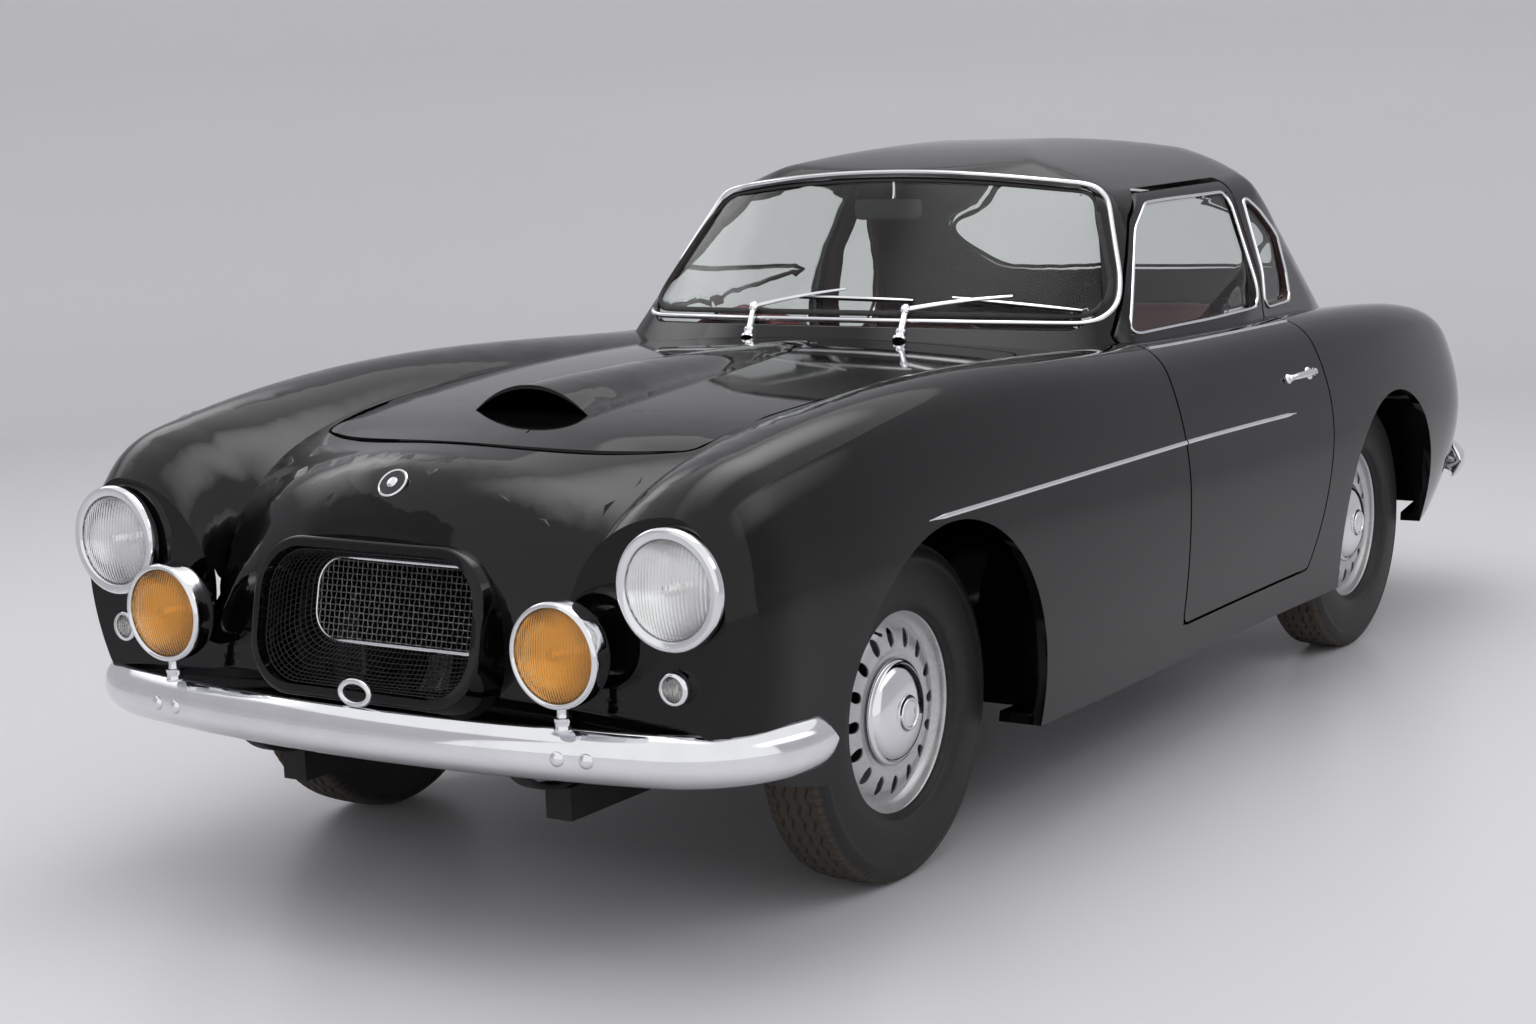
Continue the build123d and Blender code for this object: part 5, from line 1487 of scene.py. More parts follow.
def even_out(rows, rounds=3, closed=True):
    """Each row becomes the mean of itself and its neighbours, several times."""
    for _ in range(rounds):
        if closed:
            rows = (np.roll(rows, 1, 0) + 2 * rows + np.roll(rows, -1, 0)) / 4
        else:
            inner = (rows[:-2] + 2 * rows[1:-1] + rows[2:]) / 4
            rows = np.concatenate([rows[:1], inner, rows[-1:]])
    return rows


def bead(made, outline, tree, view, width, height, finish=0, count=220):
    """A rounded bead round an outline drawn in a view (front, back, left or right) and laid on the shell."""
    sink = 0.001
    flat = curve_through(outline, count, True)
    direction, start = {
        "front": ((-1, 0, 0), lambda p: np.stack([0 * p[:, 0] + 2.4, p[:, 0], p[:, 1]], 1)),
        "back": ((1, 0, 0), lambda p: np.stack([0 * p[:, 0] - 2.4, p[:, 0], p[:, 1]], 1)),
        "left": ((0, -1, 0), lambda p: np.stack([p[:, 0], 0 * p[:, 0] + 1.2, p[:, 1]], 1)),
        "right": ((0, 1, 0), lambda p: np.stack([p[:, 0], 0 * p[:, 0] - 1.2, p[:, 1]], 1)),
    }[view]
    path, normal = lay_on(tree, start(flat), direction)
    path, normal = even_out(path, 6), even_out(normal, 10)
    normal /= np.linalg.norm(normal, axis=1, keepdims=True)
    a = np.linspace(0, math.pi, 7)
    arch = np.stack([width / 2 * np.cos(a), height * np.sin(a) - sink], 1)
    foot = [(-width / 2, -sink - 0.001), (width / 2, -sink - 0.001)]
    closed_ring(made, along(path, np.concatenate([arch, foot]), up=normal, close_path=True), finish)


def rounded_polygon(points, radius, steps=7):
    """A closed outline with its corners rounded by arcs of a radius."""
    p = np.asarray(points, float)
    rows = []
    for before, here, after in zip(np.roll(p, 1, 0), p, np.roll(p, -1, 0)):
        a, b = before - here, after - here
        la, lb = np.linalg.norm(a), np.linalg.norm(b)
        a, b = a / la, b / lb
        half = math.acos(np.clip(a @ b, -1, 1)) / 2
        cut = min(radius / math.tan(half), 0.45 * la, 0.45 * lb)
        t = np.linspace(0, 1, steps)[:, None]
        rows.append((1 - t) ** 2 * (here + a * cut) + 2 * t * (1 - t) * here + t**2 * (here + b * cut))
    return np.concatenate(rows)


def dense(points, step=0.012):
    """A closed outline with points added along its straight runs."""
    p = np.concatenate([points, points[:1]])
    length = np.concatenate([[0], np.cumsum(np.linalg.norm(np.diff(p, axis=0), axis=1))])
    at = np.linspace(0, length[-1], int(length[-1] / step), endpoint=False)
    return np.stack([np.interp(at, length, p[:, k]) for k in range(2)], 1)


def bowed_outline(low, high, low_bow, high_bow, radius, grow):
    """A four-cornered window seen from the front or back; its foot and its head bow upwards in the middle."""
    (ly, lz), (hy, hz) = low, high
    foot, head = (ly + grow, lz - grow), (hy + grow, hz + grow)
    p = dense(rounded_polygon([(-foot[0], foot[1]), foot, head, (-head[0], head[1])], radius))
    t = np.clip((p[:, 1] - lz) / (hz - lz), 0, 1)
    half = ly + (hy - ly) * t
    bow = np.clip(1 - (p[:, 0] / half) ** 2, 0, 1)
    return np.stack([p[:, 0], p[:, 1] + bow * (low_bow * (1 - t) + high_bow * t)], 1)


DOOR_GLASS = [(0.2063, 0.986), (-0.0254, 1.2151), (-0.1323, 1.269), (-0.6198, 1.273), (-0.5739, 0.986)]


def quarter_outline(grow=0.0):
    """Side view of the window behind the door: a straight front, and a back that sweeps down in an arc."""
    back = arc_points((-0.707, 1.261), (-0.826, 1.150), (-0.868, 0.978), 24)
    p = rounded_polygon(np.concatenate([back[[0, 6, 12, 18, 23]], [(-0.632, 0.978)]]), 0.030, 6)
    middle = p.mean(0)
    away = p - middle
    return p + away / np.linalg.norm(away, axis=1, keepdims=True) * grow


def on_skin(x, y, z, lift=0.0):
    """Points on the worked-out skin beside given ones, lifted off it, and the normals there."""
    x, y, z = np.broadcast_arrays(np.asarray(x, float), y, z)
    foot, normal, _ = skin_at(np.stack([x, y, z], -1).reshape(-1, 3))
    return foot + normal * lift, normal


class COUPE_OT_trim(bpy.types.Operator):
    """Bright trim: window beads, side strips, handles, wipers, badge plate and rubber seals"""

    bl_idname = "coupe.trim"
    bl_label = "Bright trim"

    def execute(self, context):
        bright, rubber = chrome(), soft_rubber()
        shell = shell_tree(
            ["roof", "windscreen", "rear_window", "quarter_windows", "front_body", "bonnet", "floor_and_sills"]
        )
        width = sizes().window_bead

        made = Surface()
        # half-width and height at the foot and at the head, bow of the foot and of the head, corner radius
        front = ((0.672, 1.022), (0.534, 1.310), 0.014, 0.042, 0.060)
        back = ((0.430, 1.022), (0.520, 1.160), -0.010, 0.110, 0.060)
        bead(made, bowed_outline(*front, 0.010), shell, "front", width * 1.25, 0.008, count=320)
        bead(made, bowed_outline(*front, -0.006), shell, "front", 0.016, 0.004, finish=1, count=320)
        bead(made, bowed_outline(*back, 0.008), shell, "back", width, 0.007, count=280)
        bead(made, bowed_outline(*back, -0.007), shell, "back", 0.014, 0.004, finish=1, count=280)
        for view in ("left", "right"):
            bead(made, quarter_outline(0.006), shell, view, width * 0.9, 0.006, count=150)
        make_piece("window_beads", made, [bright, rubber], "body")

        for side, way in (("left", 1), ("right", -1)):
            door = shell_tree(["door_" + side, "door_glass_" + side])
            made = Surface()
            glass = dense(rounded_polygon(DOOR_GLASS, 0.022), 0.02)
            away = glass - glass.mean(0)
            away /= np.linalg.norm(away, axis=1, keepdims=True)
            bead(made, glass + away * 0.004, door, side, 0.009, 0.005, count=240)
            x = np.linspace(0.236, -0.592, 90)
            path, normal = on_skin(x, way * 0.75, 0.958 - 0.012 * (0.236 - x) / 0.83)
            path, normal = on_skin(path[:, 0], path[:, 1], path[:, 2], 0.0)
            a = np.linspace(0, math.pi, 7)
            section = np.stack([0.005 * np.cos(a), 0.0045 * np.sin(a) - 0.001], 1)
            closed_tube(made, along(path, section, up=normal))
            x = np.linspace(0.2455, -0.405, 80)
            path, normal = on_skin(x, way * 0.86, 0.7495 - 0.0125 * np.clip((0.2455 - x) / 0.65, 0, 1) ** 1.3)
            size = np.clip((x + 0.405) / 0.05, 0.25, 1)
            section = np.stack([sizes().strip_height / 2 * np.cos(a), 0.0050 * np.sin(a) - 0.001], 1)
            closed_tube(made, along(path, section, up=normal, scale=size))
            self.handle(made, way)
            make_piece("door_trim_" + side, made, [bright, rubber], "door_" + side)

        made = Surface()
        for way in (1, -1):
            x = np.linspace(1.440, 0.2515, 130)
            path, normal = on_skin(x, way * 0.86, 0.7555 - 0.006 * (1.44 - x) / 1.19)
            size = np.clip((1.440 - x) / 0.06, 0.25, 1)
            a = np.linspace(0, math.pi, 7)
            section = np.stack([sizes().strip_height / 2 * np.cos(a), 0.0050 * np.sin(a) - 0.001], 1)
            closed_tube(made, along(path, section, up=normal, scale=size))
        make_piece("side_strips", made, bright, "body")

        place, normal = on_skin([1.990], 0.0, 0.860, 0.004)
        dark = steel("badge enamel", rgb(40, 40, 44), rgb(22, 22, 26), 0.2, 0.25, 80.0, 0.05)
        made = Surface()
        plate = [
            (0.0325, -0.003), (0.0325, 0.0015), (0.0310, 0.0030), (0.0290, 0.0030), (0.0280, 0.0018),
            (0.0, 0.0018),
        ]
        enamel = [(0.0275, 0.0014), (0.0275, 0.0024), (0.012, 0.0027), (0, 0.0028)]
        boss = [(0.0115, 0.0020), (0.0115, 0.0038), (0.0095, 0.0048), (0.0, 0.0052)]
        for profile, turns, finish in ((plate, 64, 0), (enamel, 64, 1), (boss, 48, 0)):
            made.grid(revolve(profile, place[0], normal[0], turns), close_rows=True, finish=finish)
        make_piece("nose_plate", made, [bright, dark], "body")
        self.wipers(shell, bright, rubber)
        return {"FINISHED"}

    def handle(self, made, way):
        """A door handle: a bowed lever between two oval feet, with a push button at its rear."""
        x = np.linspace(-0.392, -0.545, 40)
        t = np.linspace(-1, 1, 40)
        path, normal = on_skin(x, way * 0.865, 0.830 + 0.0 * x)
        path = path + normal * (0.008 + 0.016 * (1 - t**4))[:, None]
        size = 0.55 + 0.45 * np.sqrt(np.clip(1 - t**2, 0, 1))
        section = circle(0.0085, 14, 0.62)
        closed_tube(made, along(path, section, up=normal, scale=size))
        for at_x, radius in ((-0.402, 0.013), (-0.533, 0.017)):
            foot, out = on_skin([at_x], way * 0.865, 0.830)
            dome = [
                (radius, -0.002), (radius, 0.002), (radius * 0.86, 0.005), (0.0085, 0.0075), (0.007, 0.018),
                (0, 0.018),
            ]
            made.grid(revolve(dome, foot[0], out[0], 28), close_rows=True)
        foot, out = on_skin([-0.556], way * 0.865, 0.830)
        button = [
            (0.0105, -0.002), (0.0105, 0.006), (0.0085, 0.0075), (0.0080, 0.013), (0.0060, 0.0145), (0, 0.0148),
        ]
        made.grid(revolve(button, foot[0], out[0], 28), close_rows=True)

    def wipers(self, shell, bright, rubber):
        """Two wipers: spindle towers on the scuttle, tapering arms and blades that lie along the glass."""
        made = Surface()

        def screen(y, z, lift):
            """Places on the windscreen at a width and height, lifted off it, with its normals."""
            start = np.stack([0 * y + 1.6, y, z], 1)
            hit, normal = lay_on(shell, start, (-1, 0, 0))
            normal = even_out(normal, 8, closed=False)
            normal /= np.linalg.norm(normal, axis=1, keepdims=True)
            return even_out(hit, 4, closed=False) + normal * lift[:, None], normal

        for foot_y, head_y, arm_end, blade in (
            (-0.222, -0.250, (0.018, 1.086), ((-0.117, 1.072), (0.200, 1.066))),
            (0.204, 0.180, (0.432, 1.070), ((0.293, 1.072), (0.590, 1.040))),
        ):
            start, _, _, _ = shell.ray_cast(Vector((0.425, foot_y, 1.4)), Vector((0, 0, -1)))
            top = Vector((0.372, (foot_y + head_y) / 2, 1.052))
            lift = top - start
            tower = np.array(
                [
                    (0, -0.004), (0.017, -0.004), (0.0175, 0.002), (0.012, 0.006), (0.0115, 0.014),
                    (0.0135, 0.017), (0.0135, 0.023), (0.0085, 0.027),
                    (0.0080, lift.length - 0.014), (0.0115, lift.length - 0.010),
                    (0.0120, lift.length + 0.004), (0.0090, lift.length + 0.009), (0, lift.length + 0.010),
                ]
            )
            made.grid(revolve(tower, start, lift, 24), close_rows=True)
            t = np.linspace(0, 1, 40)
            end, end_normal = screen(np.full(3, arm_end[0]), np.full(3, arm_end[1]), np.full(3, 0.016))
            a, c = np.array(top), end[1]
            middle = (a + c) / 2 + end_normal[1] * 0.012
            path = (1 - t[:, None]) ** 2 * a + 2 * t[:, None] * (1 - t[:, None]) * middle + t[:, None] ** 2 * c
            arm = rounded_box(0.012, 0.0055, 0.002, 3)
            closed_tube(made, along(path, arm, up=end_normal[1], scale=1.0 - 0.52 * t))
            (y0, z0), (y1, z1) = blade
            y, z = np.linspace(y0, y1, 60), np.linspace(z0, z1, 60)
            s = np.linspace(-1, 1, 60)
            spine, normal = screen(y, z, 0.0125 - 0.003 * s**2)
            section = rounded_box(0.0065, 0.0026, 0.001, 3)
            closed_tube(made, along(spine, section, up=normal, scale=1 - 0.4 * s**4))
            strip, normal = screen(y, z, np.full(60, 0.0052))
            closed_tube(made, along(strip, rounded_box(0.0040, 0.0095, 0.001, 3), up=normal), finish=1)
        make_piece("wipers", made, [bright, rubber], "body")


# ---------------------------------------------------------------- cabin


def stuffed(made, centre, wide, long, out, half, corner, crown, pleats, depth, finish=0, edge=0.035):
    """A cushion: rounded-rectangle rings follow a side profile; the top crowns and folds into sewn channels.

    Height over the middle plane = profile + crown (1 - a^2)(1 - b^2) - depth (1 - sqrt |sin|) over channels.
    """
    half_w, half_l, half_t = half
    outline = dense(rounded_box(2 * half_w, 2 * half_l, corner, 8), 0.011)
    a = np.linspace(0, math.pi / 2, 7)
    rings = [(s, -half_t) for s in np.linspace(0.0, 1.0, 8)[:-1]]
    rings += [(1.0, -half_t + edge * 0.3), (1.0, 0.0), (1.0, half_t - edge)]
    top = [(1.0 - edge * (1 - math.cos(v)) / half_w, half_t - edge + edge * math.sin(v)) for v in a[1:]]
    top += [(s, half_t) for s in np.linspace(top[-1][0], 0.0, 34)[1:]]
    rings = np.array(rings + top)
    flat = outline[None] * rings[:, :1, None]
    height = np.broadcast_to(rings[:, 1:2], flat.shape[:2]).copy()
    u, v = flat[..., 0] / half_w, flat[..., 1] / half_l
    on_top = np.clip((height - (half_t - edge)) / edge, 0, 1)
    inside = np.clip(1 - np.maximum(np.abs(u) / 0.86, np.abs(v) / 0.90) ** 8, 0, 1)
    fold = 1 - np.sqrt(np.abs(np.sin(math.pi * (u / 0.86 * pleats / 2 + 0.5 * (pleats % 2)))) + 1e-9)
    height += on_top * (crown * (1 - u**2) * (1 - v**2) - depth * fold * inside)
    piping = np.exp(-(((np.maximum(np.abs(u), np.abs(v)) - 0.915) / 0.014) ** 2))
    height += on_top * piping * 0.0025
    wide, long, out = (np.asarray(q, float) / np.linalg.norm(q) for q in (wide, long, out))
    grid = np.asarray(centre) + flat[..., :1] * wide + flat[..., 1:] * long + height[..., None] * out
    made.grid(grid, close_columns=True, finish=finish)
    return made


class COUPE_OT_cabin(bpy.types.Operator):
    """Seats, dashboard, steering wheel and mirror"""

    bl_idname = "coupe.cabin"
    bl_label = "Cabin"

    def execute(self, context):
        hide, bright = hide_leather(), chrome()
        n = sizes().pleats
        across, backward, upward = (0, 1, 0), (-1, 0, 0), (0, 0, 1)
        lean = np.array([-0.2, 0, 1.0]) / math.hypot(0.2, 1)
        face = np.array([1.0, 0, 0.2]) / math.hypot(0.2, 1)
        seats = {}
        for side, y in (("left", 0.345), ("right", -0.345)):
            seats["seat_cushion_" + side] = stuffed(
                Surface(), (-0.220, y, 0.434), across, backward, upward, (0.203, 0.247, 0.098), 0.055, 0.012,
                n, 0.006,
            )
            seats["seat_back_" + side] = stuffed(
                Surface(), (-0.600, y, 0.665), across, lean, face, (0.203, 0.318, 0.052), 0.07, 0.010,
                n, 0.006,
            )
        seats["rear_cushion"] = stuffed(
            Surface(), (-0.776, 0, 0.512), across, backward, upward, (0.466, 0.113, 0.046), 0.05, 0.008,
            2 * n + 1, 0.005, edge=0.025,
        )
        seats["rear_back"] = stuffed(
            Surface(), (-0.948, 0, 0.655), across, lean, face, (0.466, 0.190, 0.026), 0.06, 0.008,
            2 * n + 1, 0.005, edge=0.02,
        )
        for name, surface in seats.items():
            nodes = {"seat_cushion_left": ["front_seats"], "rear_cushion": ["rear_seat"]}.get(name, [])
            piece = make_piece(name, surface, hide, "body", nodes)
        self.dashboard(hide, bright)
        self.hand_wheel(bright)
        self.mirror(bright)
        return {"FINISHED"}

    def dashboard(self, hide, bright):
        """The dashboard's side section carried across the car, a hood, and dials in bright rings."""
        black = steel("dial face", rgb(24, 24, 26), rgb(14, 14, 15), 0.0, 0.35, 120.0, 0.02)
        made = Surface()
        section = np.array(
            [
                (0.235, 0.757), (0.205, 0.800), (0.198, 0.850), (0.203, 0.900), (0.212, 0.928), (0.232, 0.942),
                (0.268, 0.9445), (0.300, 0.9445), (0.309, 0.940), (0.309, 0.906), (0.290, 0.850),
                (0.272, 0.780), (0.255, 0.757),
            ]
        )
        section = curve_through(section, 64, closed=True)
        y = np.linspace(-0.583, 0.583, 60)
        carried = np.broadcast_arrays(section[None, :, 0], y[:, None], section[None, :, 1])
        closed_tube(made, np.stack(carried, -1))
        angle = np.linspace(0, math.pi, 40)
        ramp = np.linspace(0, 1, 12)
        arch = np.stack([-0.355 - 0.186 * np.cos(angle), 0.935 + 0.108 * np.sin(angle) ** 0.8], 1)
        for drop, flip in ((0.0, 1), (0.006, -1)):
            x = 0.203 + 0.064 * ramp
            shrink = 1 - 0.10 * ramp**2 - drop / 0.12
            rows = np.stack(
                [
                    np.broadcast_to(x[:, None], (12, 40)),
                    -0.355 + (arch[None, :, 0] + 0.355) * shrink[:, None],
                    0.935 + (arch[None, :, 1] - 0.935) * shrink[:, None],
                ], -1,
            )
            made.grid(rows[::flip])
            back = np.stack([rows[-1], np.broadcast_to([x[-1], -0.355, 0.935], rows[-1].shape)])
            made.grid(back[::flip])
        lip = np.stack([np.full(40, 0.203), arch[:, 0], arch[:, 1] - 0.002], 1)
        closed_tube(made, along(lip, circle(0.0055, 10), up=(1, 0, 0)))
        # each dial's place across the car, its height and its radius
        dials = (
            (-0.42, 0.985, 0.040), (-0.29, 0.985, 0.040), (-0.355, 0.900, 0.022), (-0.10, 0.880, 0.026),
            (0.0, 0.880, 0.026), (0.10, 0.880, 0.026),
        )
        for y, z, radius in dials:
            out, x = (-1.0, 0, 0), 0.216 if z > 0.95 else 0.201
            dial = np.array([(0, 0.0005), (radius, 0.0005), (radius, -0.006), (0, -0.006)])
            made.grid(revolve(dial, (x, y, z), out, 36), close_rows=True, finish=2)
            ring = [
                (radius, -0.004), (radius + 0.005, -0.003), (radius + 0.0045, 0.0035), (radius + 0.001, 0.0045),
                (radius - 0.001, 0.002),
            ]
            closed_ring(made, revolve(ring, (x, y, z), out, 36), finish=1)
        for side in (-1, 1):
            bar = np.stack([np.linspace(0.29, 0.4245, 8), np.full(8, side * 0.300), np.full(8, 0.900)], 1)
            closed_tube(made, along(bar, rounded_box(0.040, 0.030, 0.006, 3)), finish=1)
        finishes = [hide, bright, black]
        make_piece("dashboard_padded_top", made, finishes, "body", "dashboard")

    def hand_wheel(self, bright):
        """Steering wheel: a ringed rim, three sprung spokes and a domed hub, all in the leaning plane."""
        black = steel("black plastic", rgb(22, 22, 23), rgb(14, 14, 15), 0.0, 0.28, 50.0, 0.03)
        tilt = math.radians(28)
        centre = np.array([-0.025, -0.350, 0.838])
        out = np.array([-math.cos(tilt), 0, math.sin(tilt)])
        side = np.array([0, 1.0, 0])
        up = np.cross(out, side)
        made = Surface()
        a = np.linspace(0, 2 * math.pi, 144, endpoint=False)
        ring = centre + 0.2 * (np.cos(a)[:, None] * side + np.sin(a)[:, None] * up)
        grip = 1 - 0.07 * (np.cos(a * 36) > 0.55)
        closed_ring(made, along(ring, circle(0.0108, 14), up=out, close_path=True, scale=grip))
        hub = [
            (0, -0.028), (0.024, -0.028), (0.026, -0.020), (0.026, -0.002), (0.024, 0.003), (0.016, 0.0055),
            (0, 0.006),
        ]
        made.grid(revolve(hub, centre, out, 48), close_rows=True)
        for turn in (30, 150, 270):
            c, s = math.cos(math.radians(turn)), math.sin(math.radians(turn))
            for shift in (-0.005, 0.0, 0.005):
                r = np.linspace(0.018, 0.193, 24)
                line = centre + r[:, None] * (c * side + s * up) + shift * (-s * side + c * up) - 0.003 * out
                closed_tube(made, along(line, circle(0.0019, 8), up=out), finish=1)
        make_piece(
            "hand_wheel", made, [black, bright], "steering_hand_wheel", "steering_wheel"
        )

    def mirror(self, bright):
        """Rear-view mirror: a rounded black case with a thin stem from the header."""
        black = steel("black plastic", rgb(22, 22, 23), rgb(14, 14, 15), 0.0, 0.28, 50.0, 0.03)
        made = Surface()
        outline, middle = rounded_box(0.188, 0.050, 0.014, 8), 1.271
        # rows of (share of the outline, place along the car)
        depth = np.array(
            [
                (0.0, 0.105), (0.86, 0.105), (0.97, 0.106), (1.0, 0.109), (1.0, 0.114), (0.95, 0.1175),
                (0.80, 0.118), (0.0, 0.118),
            ]
        )
        share, x = depth[:, :1], depth[:, 1:]
        shape = np.broadcast_arrays(x, outline[None, :, 0] * share, middle + outline[None, :, 1] * share)
        made.grid(np.stack(shape, -1), close_columns=True)
        inner = outline * [0.93, 0.82]
        face = np.stack([np.full(len(inner), 0.1048), inner[:, 0], middle + inner[:, 1]], 1)
        made.grid(np.stack([face, np.broadcast_to(face.mean(0), face.shape)]), close_columns=True, finish=1)
        stem = curve_through([(0.112, 0, 1.280), (0.092, 0, 1.290), (0.083, 0, 1.310), (0.082, 0, 1.3515)], 24)
        closed_tube(made, along(stem, circle(0.0045, 10), up=(0, 1, 0)), finish=1)
        make_piece("inner_mirror", made, [black, bright], "body", "mirror")


# ---------------------------------------------------------------- running gear that keeps its solids


class COUPE_OT_running_gear(bpy.types.Operator):
    """Finishes for the solids that show as they are: frame, engine, axles, pipes and seat frames"""

    bl_idname = "coupe.running_gear"
    bl_label = "Running gear"

    def execute(self, context):
        under = dark_steel()
        cast = steel("cast engine", rgb(120, 118, 114), rgb(80, 78, 74), 0.7, 0.5)
        pipe = steel("pipe steel", rgb(140, 132, 120), rgb(86, 76, 66), 0.8, 0.4)
        dark = (
            "chassis_frame", "front_suspension", "rear_axle", "knuckle_left", "knuckle_right", "fuel_tank",
            "steering_column", "seat_frames",
        )
        for nodes, material in ((dark, under), (("engine",), cast), (("exhaust",), pipe)):
            for node in nodes:
                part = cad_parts[node]
                if not part.material_slots:
                    part.data.materials.append(material)
                for place in part.material_slots:
                    place.material = material
        return {"FINISHED"}


# ---------------------------------------------------------------- studio


class COUPE_OT_studio(bpy.types.Operator):
    """Pale floor and curved backdrop, soft lamps and the camera"""

    bl_idname = "coupe.studio"
    bl_label = "Studio"

    def execute(self, context):
        scene = context.scene
        tone = tuple(colours().studio)
        material, n, shader, place = blank("studio floor")
        if n:
            wander = n.ramp(n.noise(place, 0.6, 2.0), 0.3, 0.7, 0.30, 0.36)
            setup(n, shader, Base_Color=tone, Roughness=wander, Specular_IOR_Level=0.35)
            # seen from outside the room, a wall is clear
            behind = n.add("ShaderNodeNewGeometry").outputs["Backfacing"]
            clear = n.add("ShaderNodeBsdfTransparent").outputs[0]
            seen = n.add("ShaderNodeMixShader", n0=behind, n1=shader.outputs[0], n2=clear)
            n.tree.links.new(seen.outputs[0], n.tree.nodes["Material Output"].inputs["Surface"])
        facing = math.atan2(CAMERA_PLACE[1], CAMERA_PLACE[0])
        room, cove, top, open_half = 9.0, 1.8, 7.5, 52.0
        bend = np.linspace(0, math.pi / 2, 14)[1:]
        flat = room - cove
        reach = np.concatenate([np.linspace(0, flat, 16), flat + cove * np.sin(bend), np.full(6, room)])
        rise = np.concatenate([np.zeros(16), cove * (1 - np.cos(bend)), np.linspace(cove + 0.4, top, 6)])
        turn = facing + np.radians(np.linspace(open_half, 360 - open_half, 90))
        front = facing + np.radians(np.linspace(-open_half, open_half, 40))
        floor = np.linspace(0, room, 12)
        made = Surface()
        for away, height, angle in ((reach, rise, turn), (floor, 0 * floor, front)):
            away = away[:, None]
            sheet = np.broadcast_arrays(away * np.cos(angle), away * np.sin(angle), height[:, None])
            made.grid(np.stack(sheet, -1))
        mesh = bpy.data.meshes.new("studio")
        points, sheets = np.concatenate(made.points), []
        for faces in made.faces:
            corner = points[faces]
            upward = np.cross(corner[:, 1] - corner[:, 0], corner[:, 2] - corner[:, 0])[:, 2].sum() > 0
            sheets.append(faces if upward else faces[:, ::-1])
        mesh.from_pydata(points.tolist(), [], np.concatenate(sheets).tolist())
        mesh.materials.append(material)
        work = bmesh.new()
        work.from_mesh(mesh)
        bmesh.ops.remove_doubles(work, verts=work.verts, dist=1e-4)
        work.to_mesh(mesh)
        work.free()
        mesh.shade_smooth()
        studio = bpy.data.objects.new("studio", mesh)
        scene.collection.objects.link(studio)

        world = bpy.data.worlds.new("studio air")
        world.use_nodes = True
        world.node_tree.nodes["Background"].inputs["Color"].default_value = (0.93, 0.93, 0.94, 1)
        world.node_tree.nodes["Background"].inputs["Strength"].default_value = 1.06
        scene.world = world
        for name, place, target, size, power in (
            ("overhead", (0.0, 0.0, 4.6), (0.0, 0.0, 0.0), (6.4, 3.4), 84),
            ("long side", (-0.4, 4.4, 3.6), (-0.2, 0.4, 0.6), (6.0, 1.8), 26),
            ("far side", (0.2, -4.4, 3.6), (0.0, -0.3, 0.8), (6.0, 1.8), 26),
        ):
            lamp = bpy.data.lights.new(name, "AREA")
            lamp.shape, lamp.size, lamp.size_y, lamp.energy = "RECTANGLE", size[0], size[1], power
            self.soften(lamp)
            holder = bpy.data.objects.new(name, lamp)
            scene.collection.objects.link(holder)
            holder.location = place
            direction = Vector(target) - Vector(place)
            holder.rotation_euler = direction.to_track_quat("-Z", "Y").to_euler()
        yaw, pitch, roll = (math.radians(v) for v in CAMERA_TURNS)
        forward = Vector((math.cos(pitch) * math.cos(yaw), math.cos(pitch) * math.sin(yaw), math.sin(pitch)))
        right = forward.cross(Vector((0, 0, 1))).normalized()
        up = right.cross(forward)
        turned = right * math.cos(roll) + up * math.sin(roll)
        upright = -right * math.sin(roll) + up * math.cos(roll)
        camera = bpy.data.objects.new("camera", bpy.data.cameras.new("camera"))
        scene.collection.objects.link(camera)
        axes = Matrix((turned, upright, -forward)).transposed().to_4x4()
        camera.matrix_world = Matrix.Translation(CAMERA_PLACE) @ axes
        camera.data.sensor_width = 36.0
        camera.data.lens = CAMERA_FOCAL / PHOTO_WIDTH * camera.data.sensor_width
        camera.data.clip_end = 60
        scene.camera = camera
        scene.view_settings.view_transform = "Standard"
        return {"FINISHED"}

    def soften(self, lamp):
        """The lamp fades out to its four edges: strength = 2.25 (1 - a^2)(1 - b^2), a and b from -1 to 1."""
        lamp.use_nodes = True
        n = Nodes(lamp.node_tree)
        glow = lamp.node_tree.nodes["Emission"]
        parts = n.add("ShaderNodeSeparateXYZ", n0=n.add("ShaderNodeNewGeometry").outputs["Parametric"])
        fades = []
        for axis in (0, 1):
            spread = n.math("SUBTRACT", n.math("MULTIPLY", parts.outputs[axis], 2.0), 1.0)
            fades.append(n.math("SUBTRACT", 1.0, n.math("MULTIPLY", spread, spread)))
        strength = n.math("MULTIPLY", n.math("MULTIPLY", fades[0], fades[1]), 2.25)
        lamp.node_tree.links.new(strength, glow.inputs["Strength"])


# ---------------------------------------------------------------- panel and run

OPERATORS = (
    COUPE_OT_panels, COUPE_OT_glass, COUPE_OT_wheels, COUPE_OT_bumpers, COUPE_OT_lamps, COUPE_OT_grille,
    COUPE_OT_trim, COUPE_OT_cabin, COUPE_OT_running_gear, COUPE_OT_studio,
)


class COUPE_PT_panel(bpy.types.Panel):
    """The coupe's sizes, colours and pieces"""

    bl_idname = "COUPE_PT_panel"
    bl_label = "Coupe"
    bl_space_type = "VIEW_3D"
    bl_region_type = "UI"
    bl_category = "Coupe"

    def draw(self, context):
        layout = self.layout
        for group in (context.scene.coupe_sizes, context.scene.coupe_colours):
            box = layout.box()
            for key in group.bl_rna.properties.keys():
                if key not in ("rna_type", "name"):
                    box.prop(group, key)
        for operator in OPERATORS:
            layout.operator(operator.bl_idname)


CLASSES = (CoupeSizes, CoupeColours, *OPERATORS, COUPE_PT_panel)


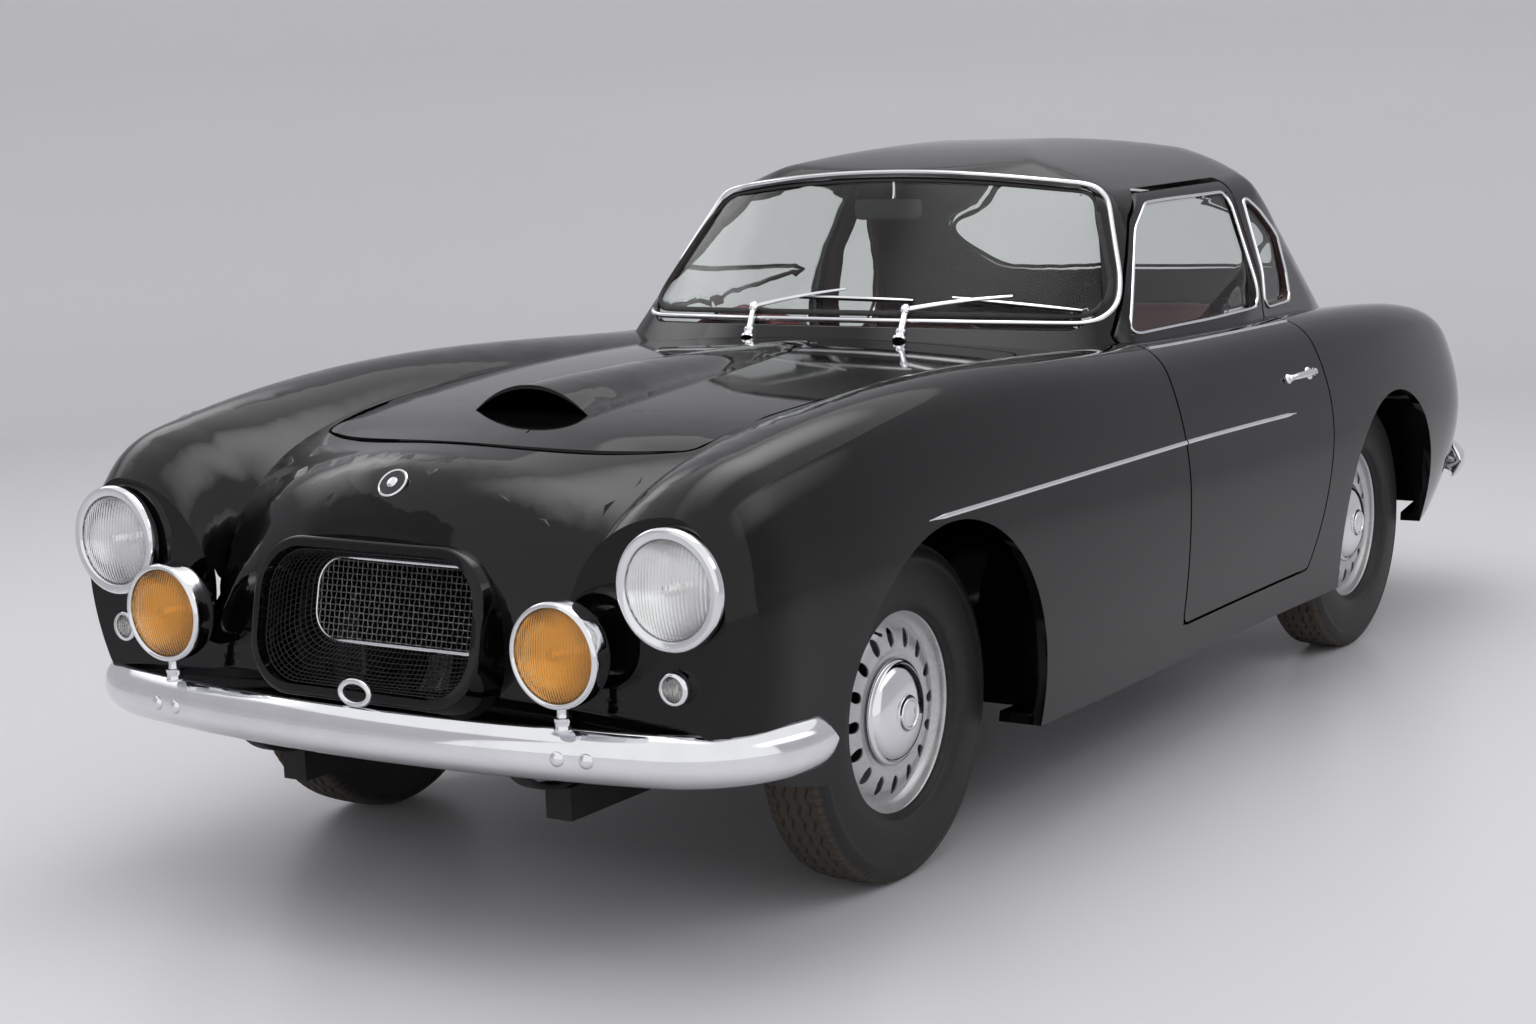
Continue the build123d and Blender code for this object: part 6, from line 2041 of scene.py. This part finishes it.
def register():
    for item in CLASSES:
        bpy.utils.register_class(item)
    bpy.types.Scene.coupe_sizes = bpy.props.PointerProperty(type=CoupeSizes)
    bpy.types.Scene.coupe_colours = bpy.props.PointerProperty(type=CoupeColours)


def unregister():
    del bpy.types.Scene.coupe_colours
    del bpy.types.Scene.coupe_sizes
    for item in reversed(CLASSES):
        bpy.utils.unregister_class(item)


def main():
    register()
    bpy.ops.coupe.panels()
    bpy.ops.coupe.glass()
    bpy.ops.coupe.wheels()
    bpy.ops.coupe.bumpers()
    bpy.ops.coupe.lamps()
    bpy.ops.coupe.grille()
    bpy.ops.coupe.trim()
    bpy.ops.coupe.cabin()
    bpy.ops.coupe.running_gear()
    bpy.ops.coupe.studio()


if __name__ == "__main__":
    main()
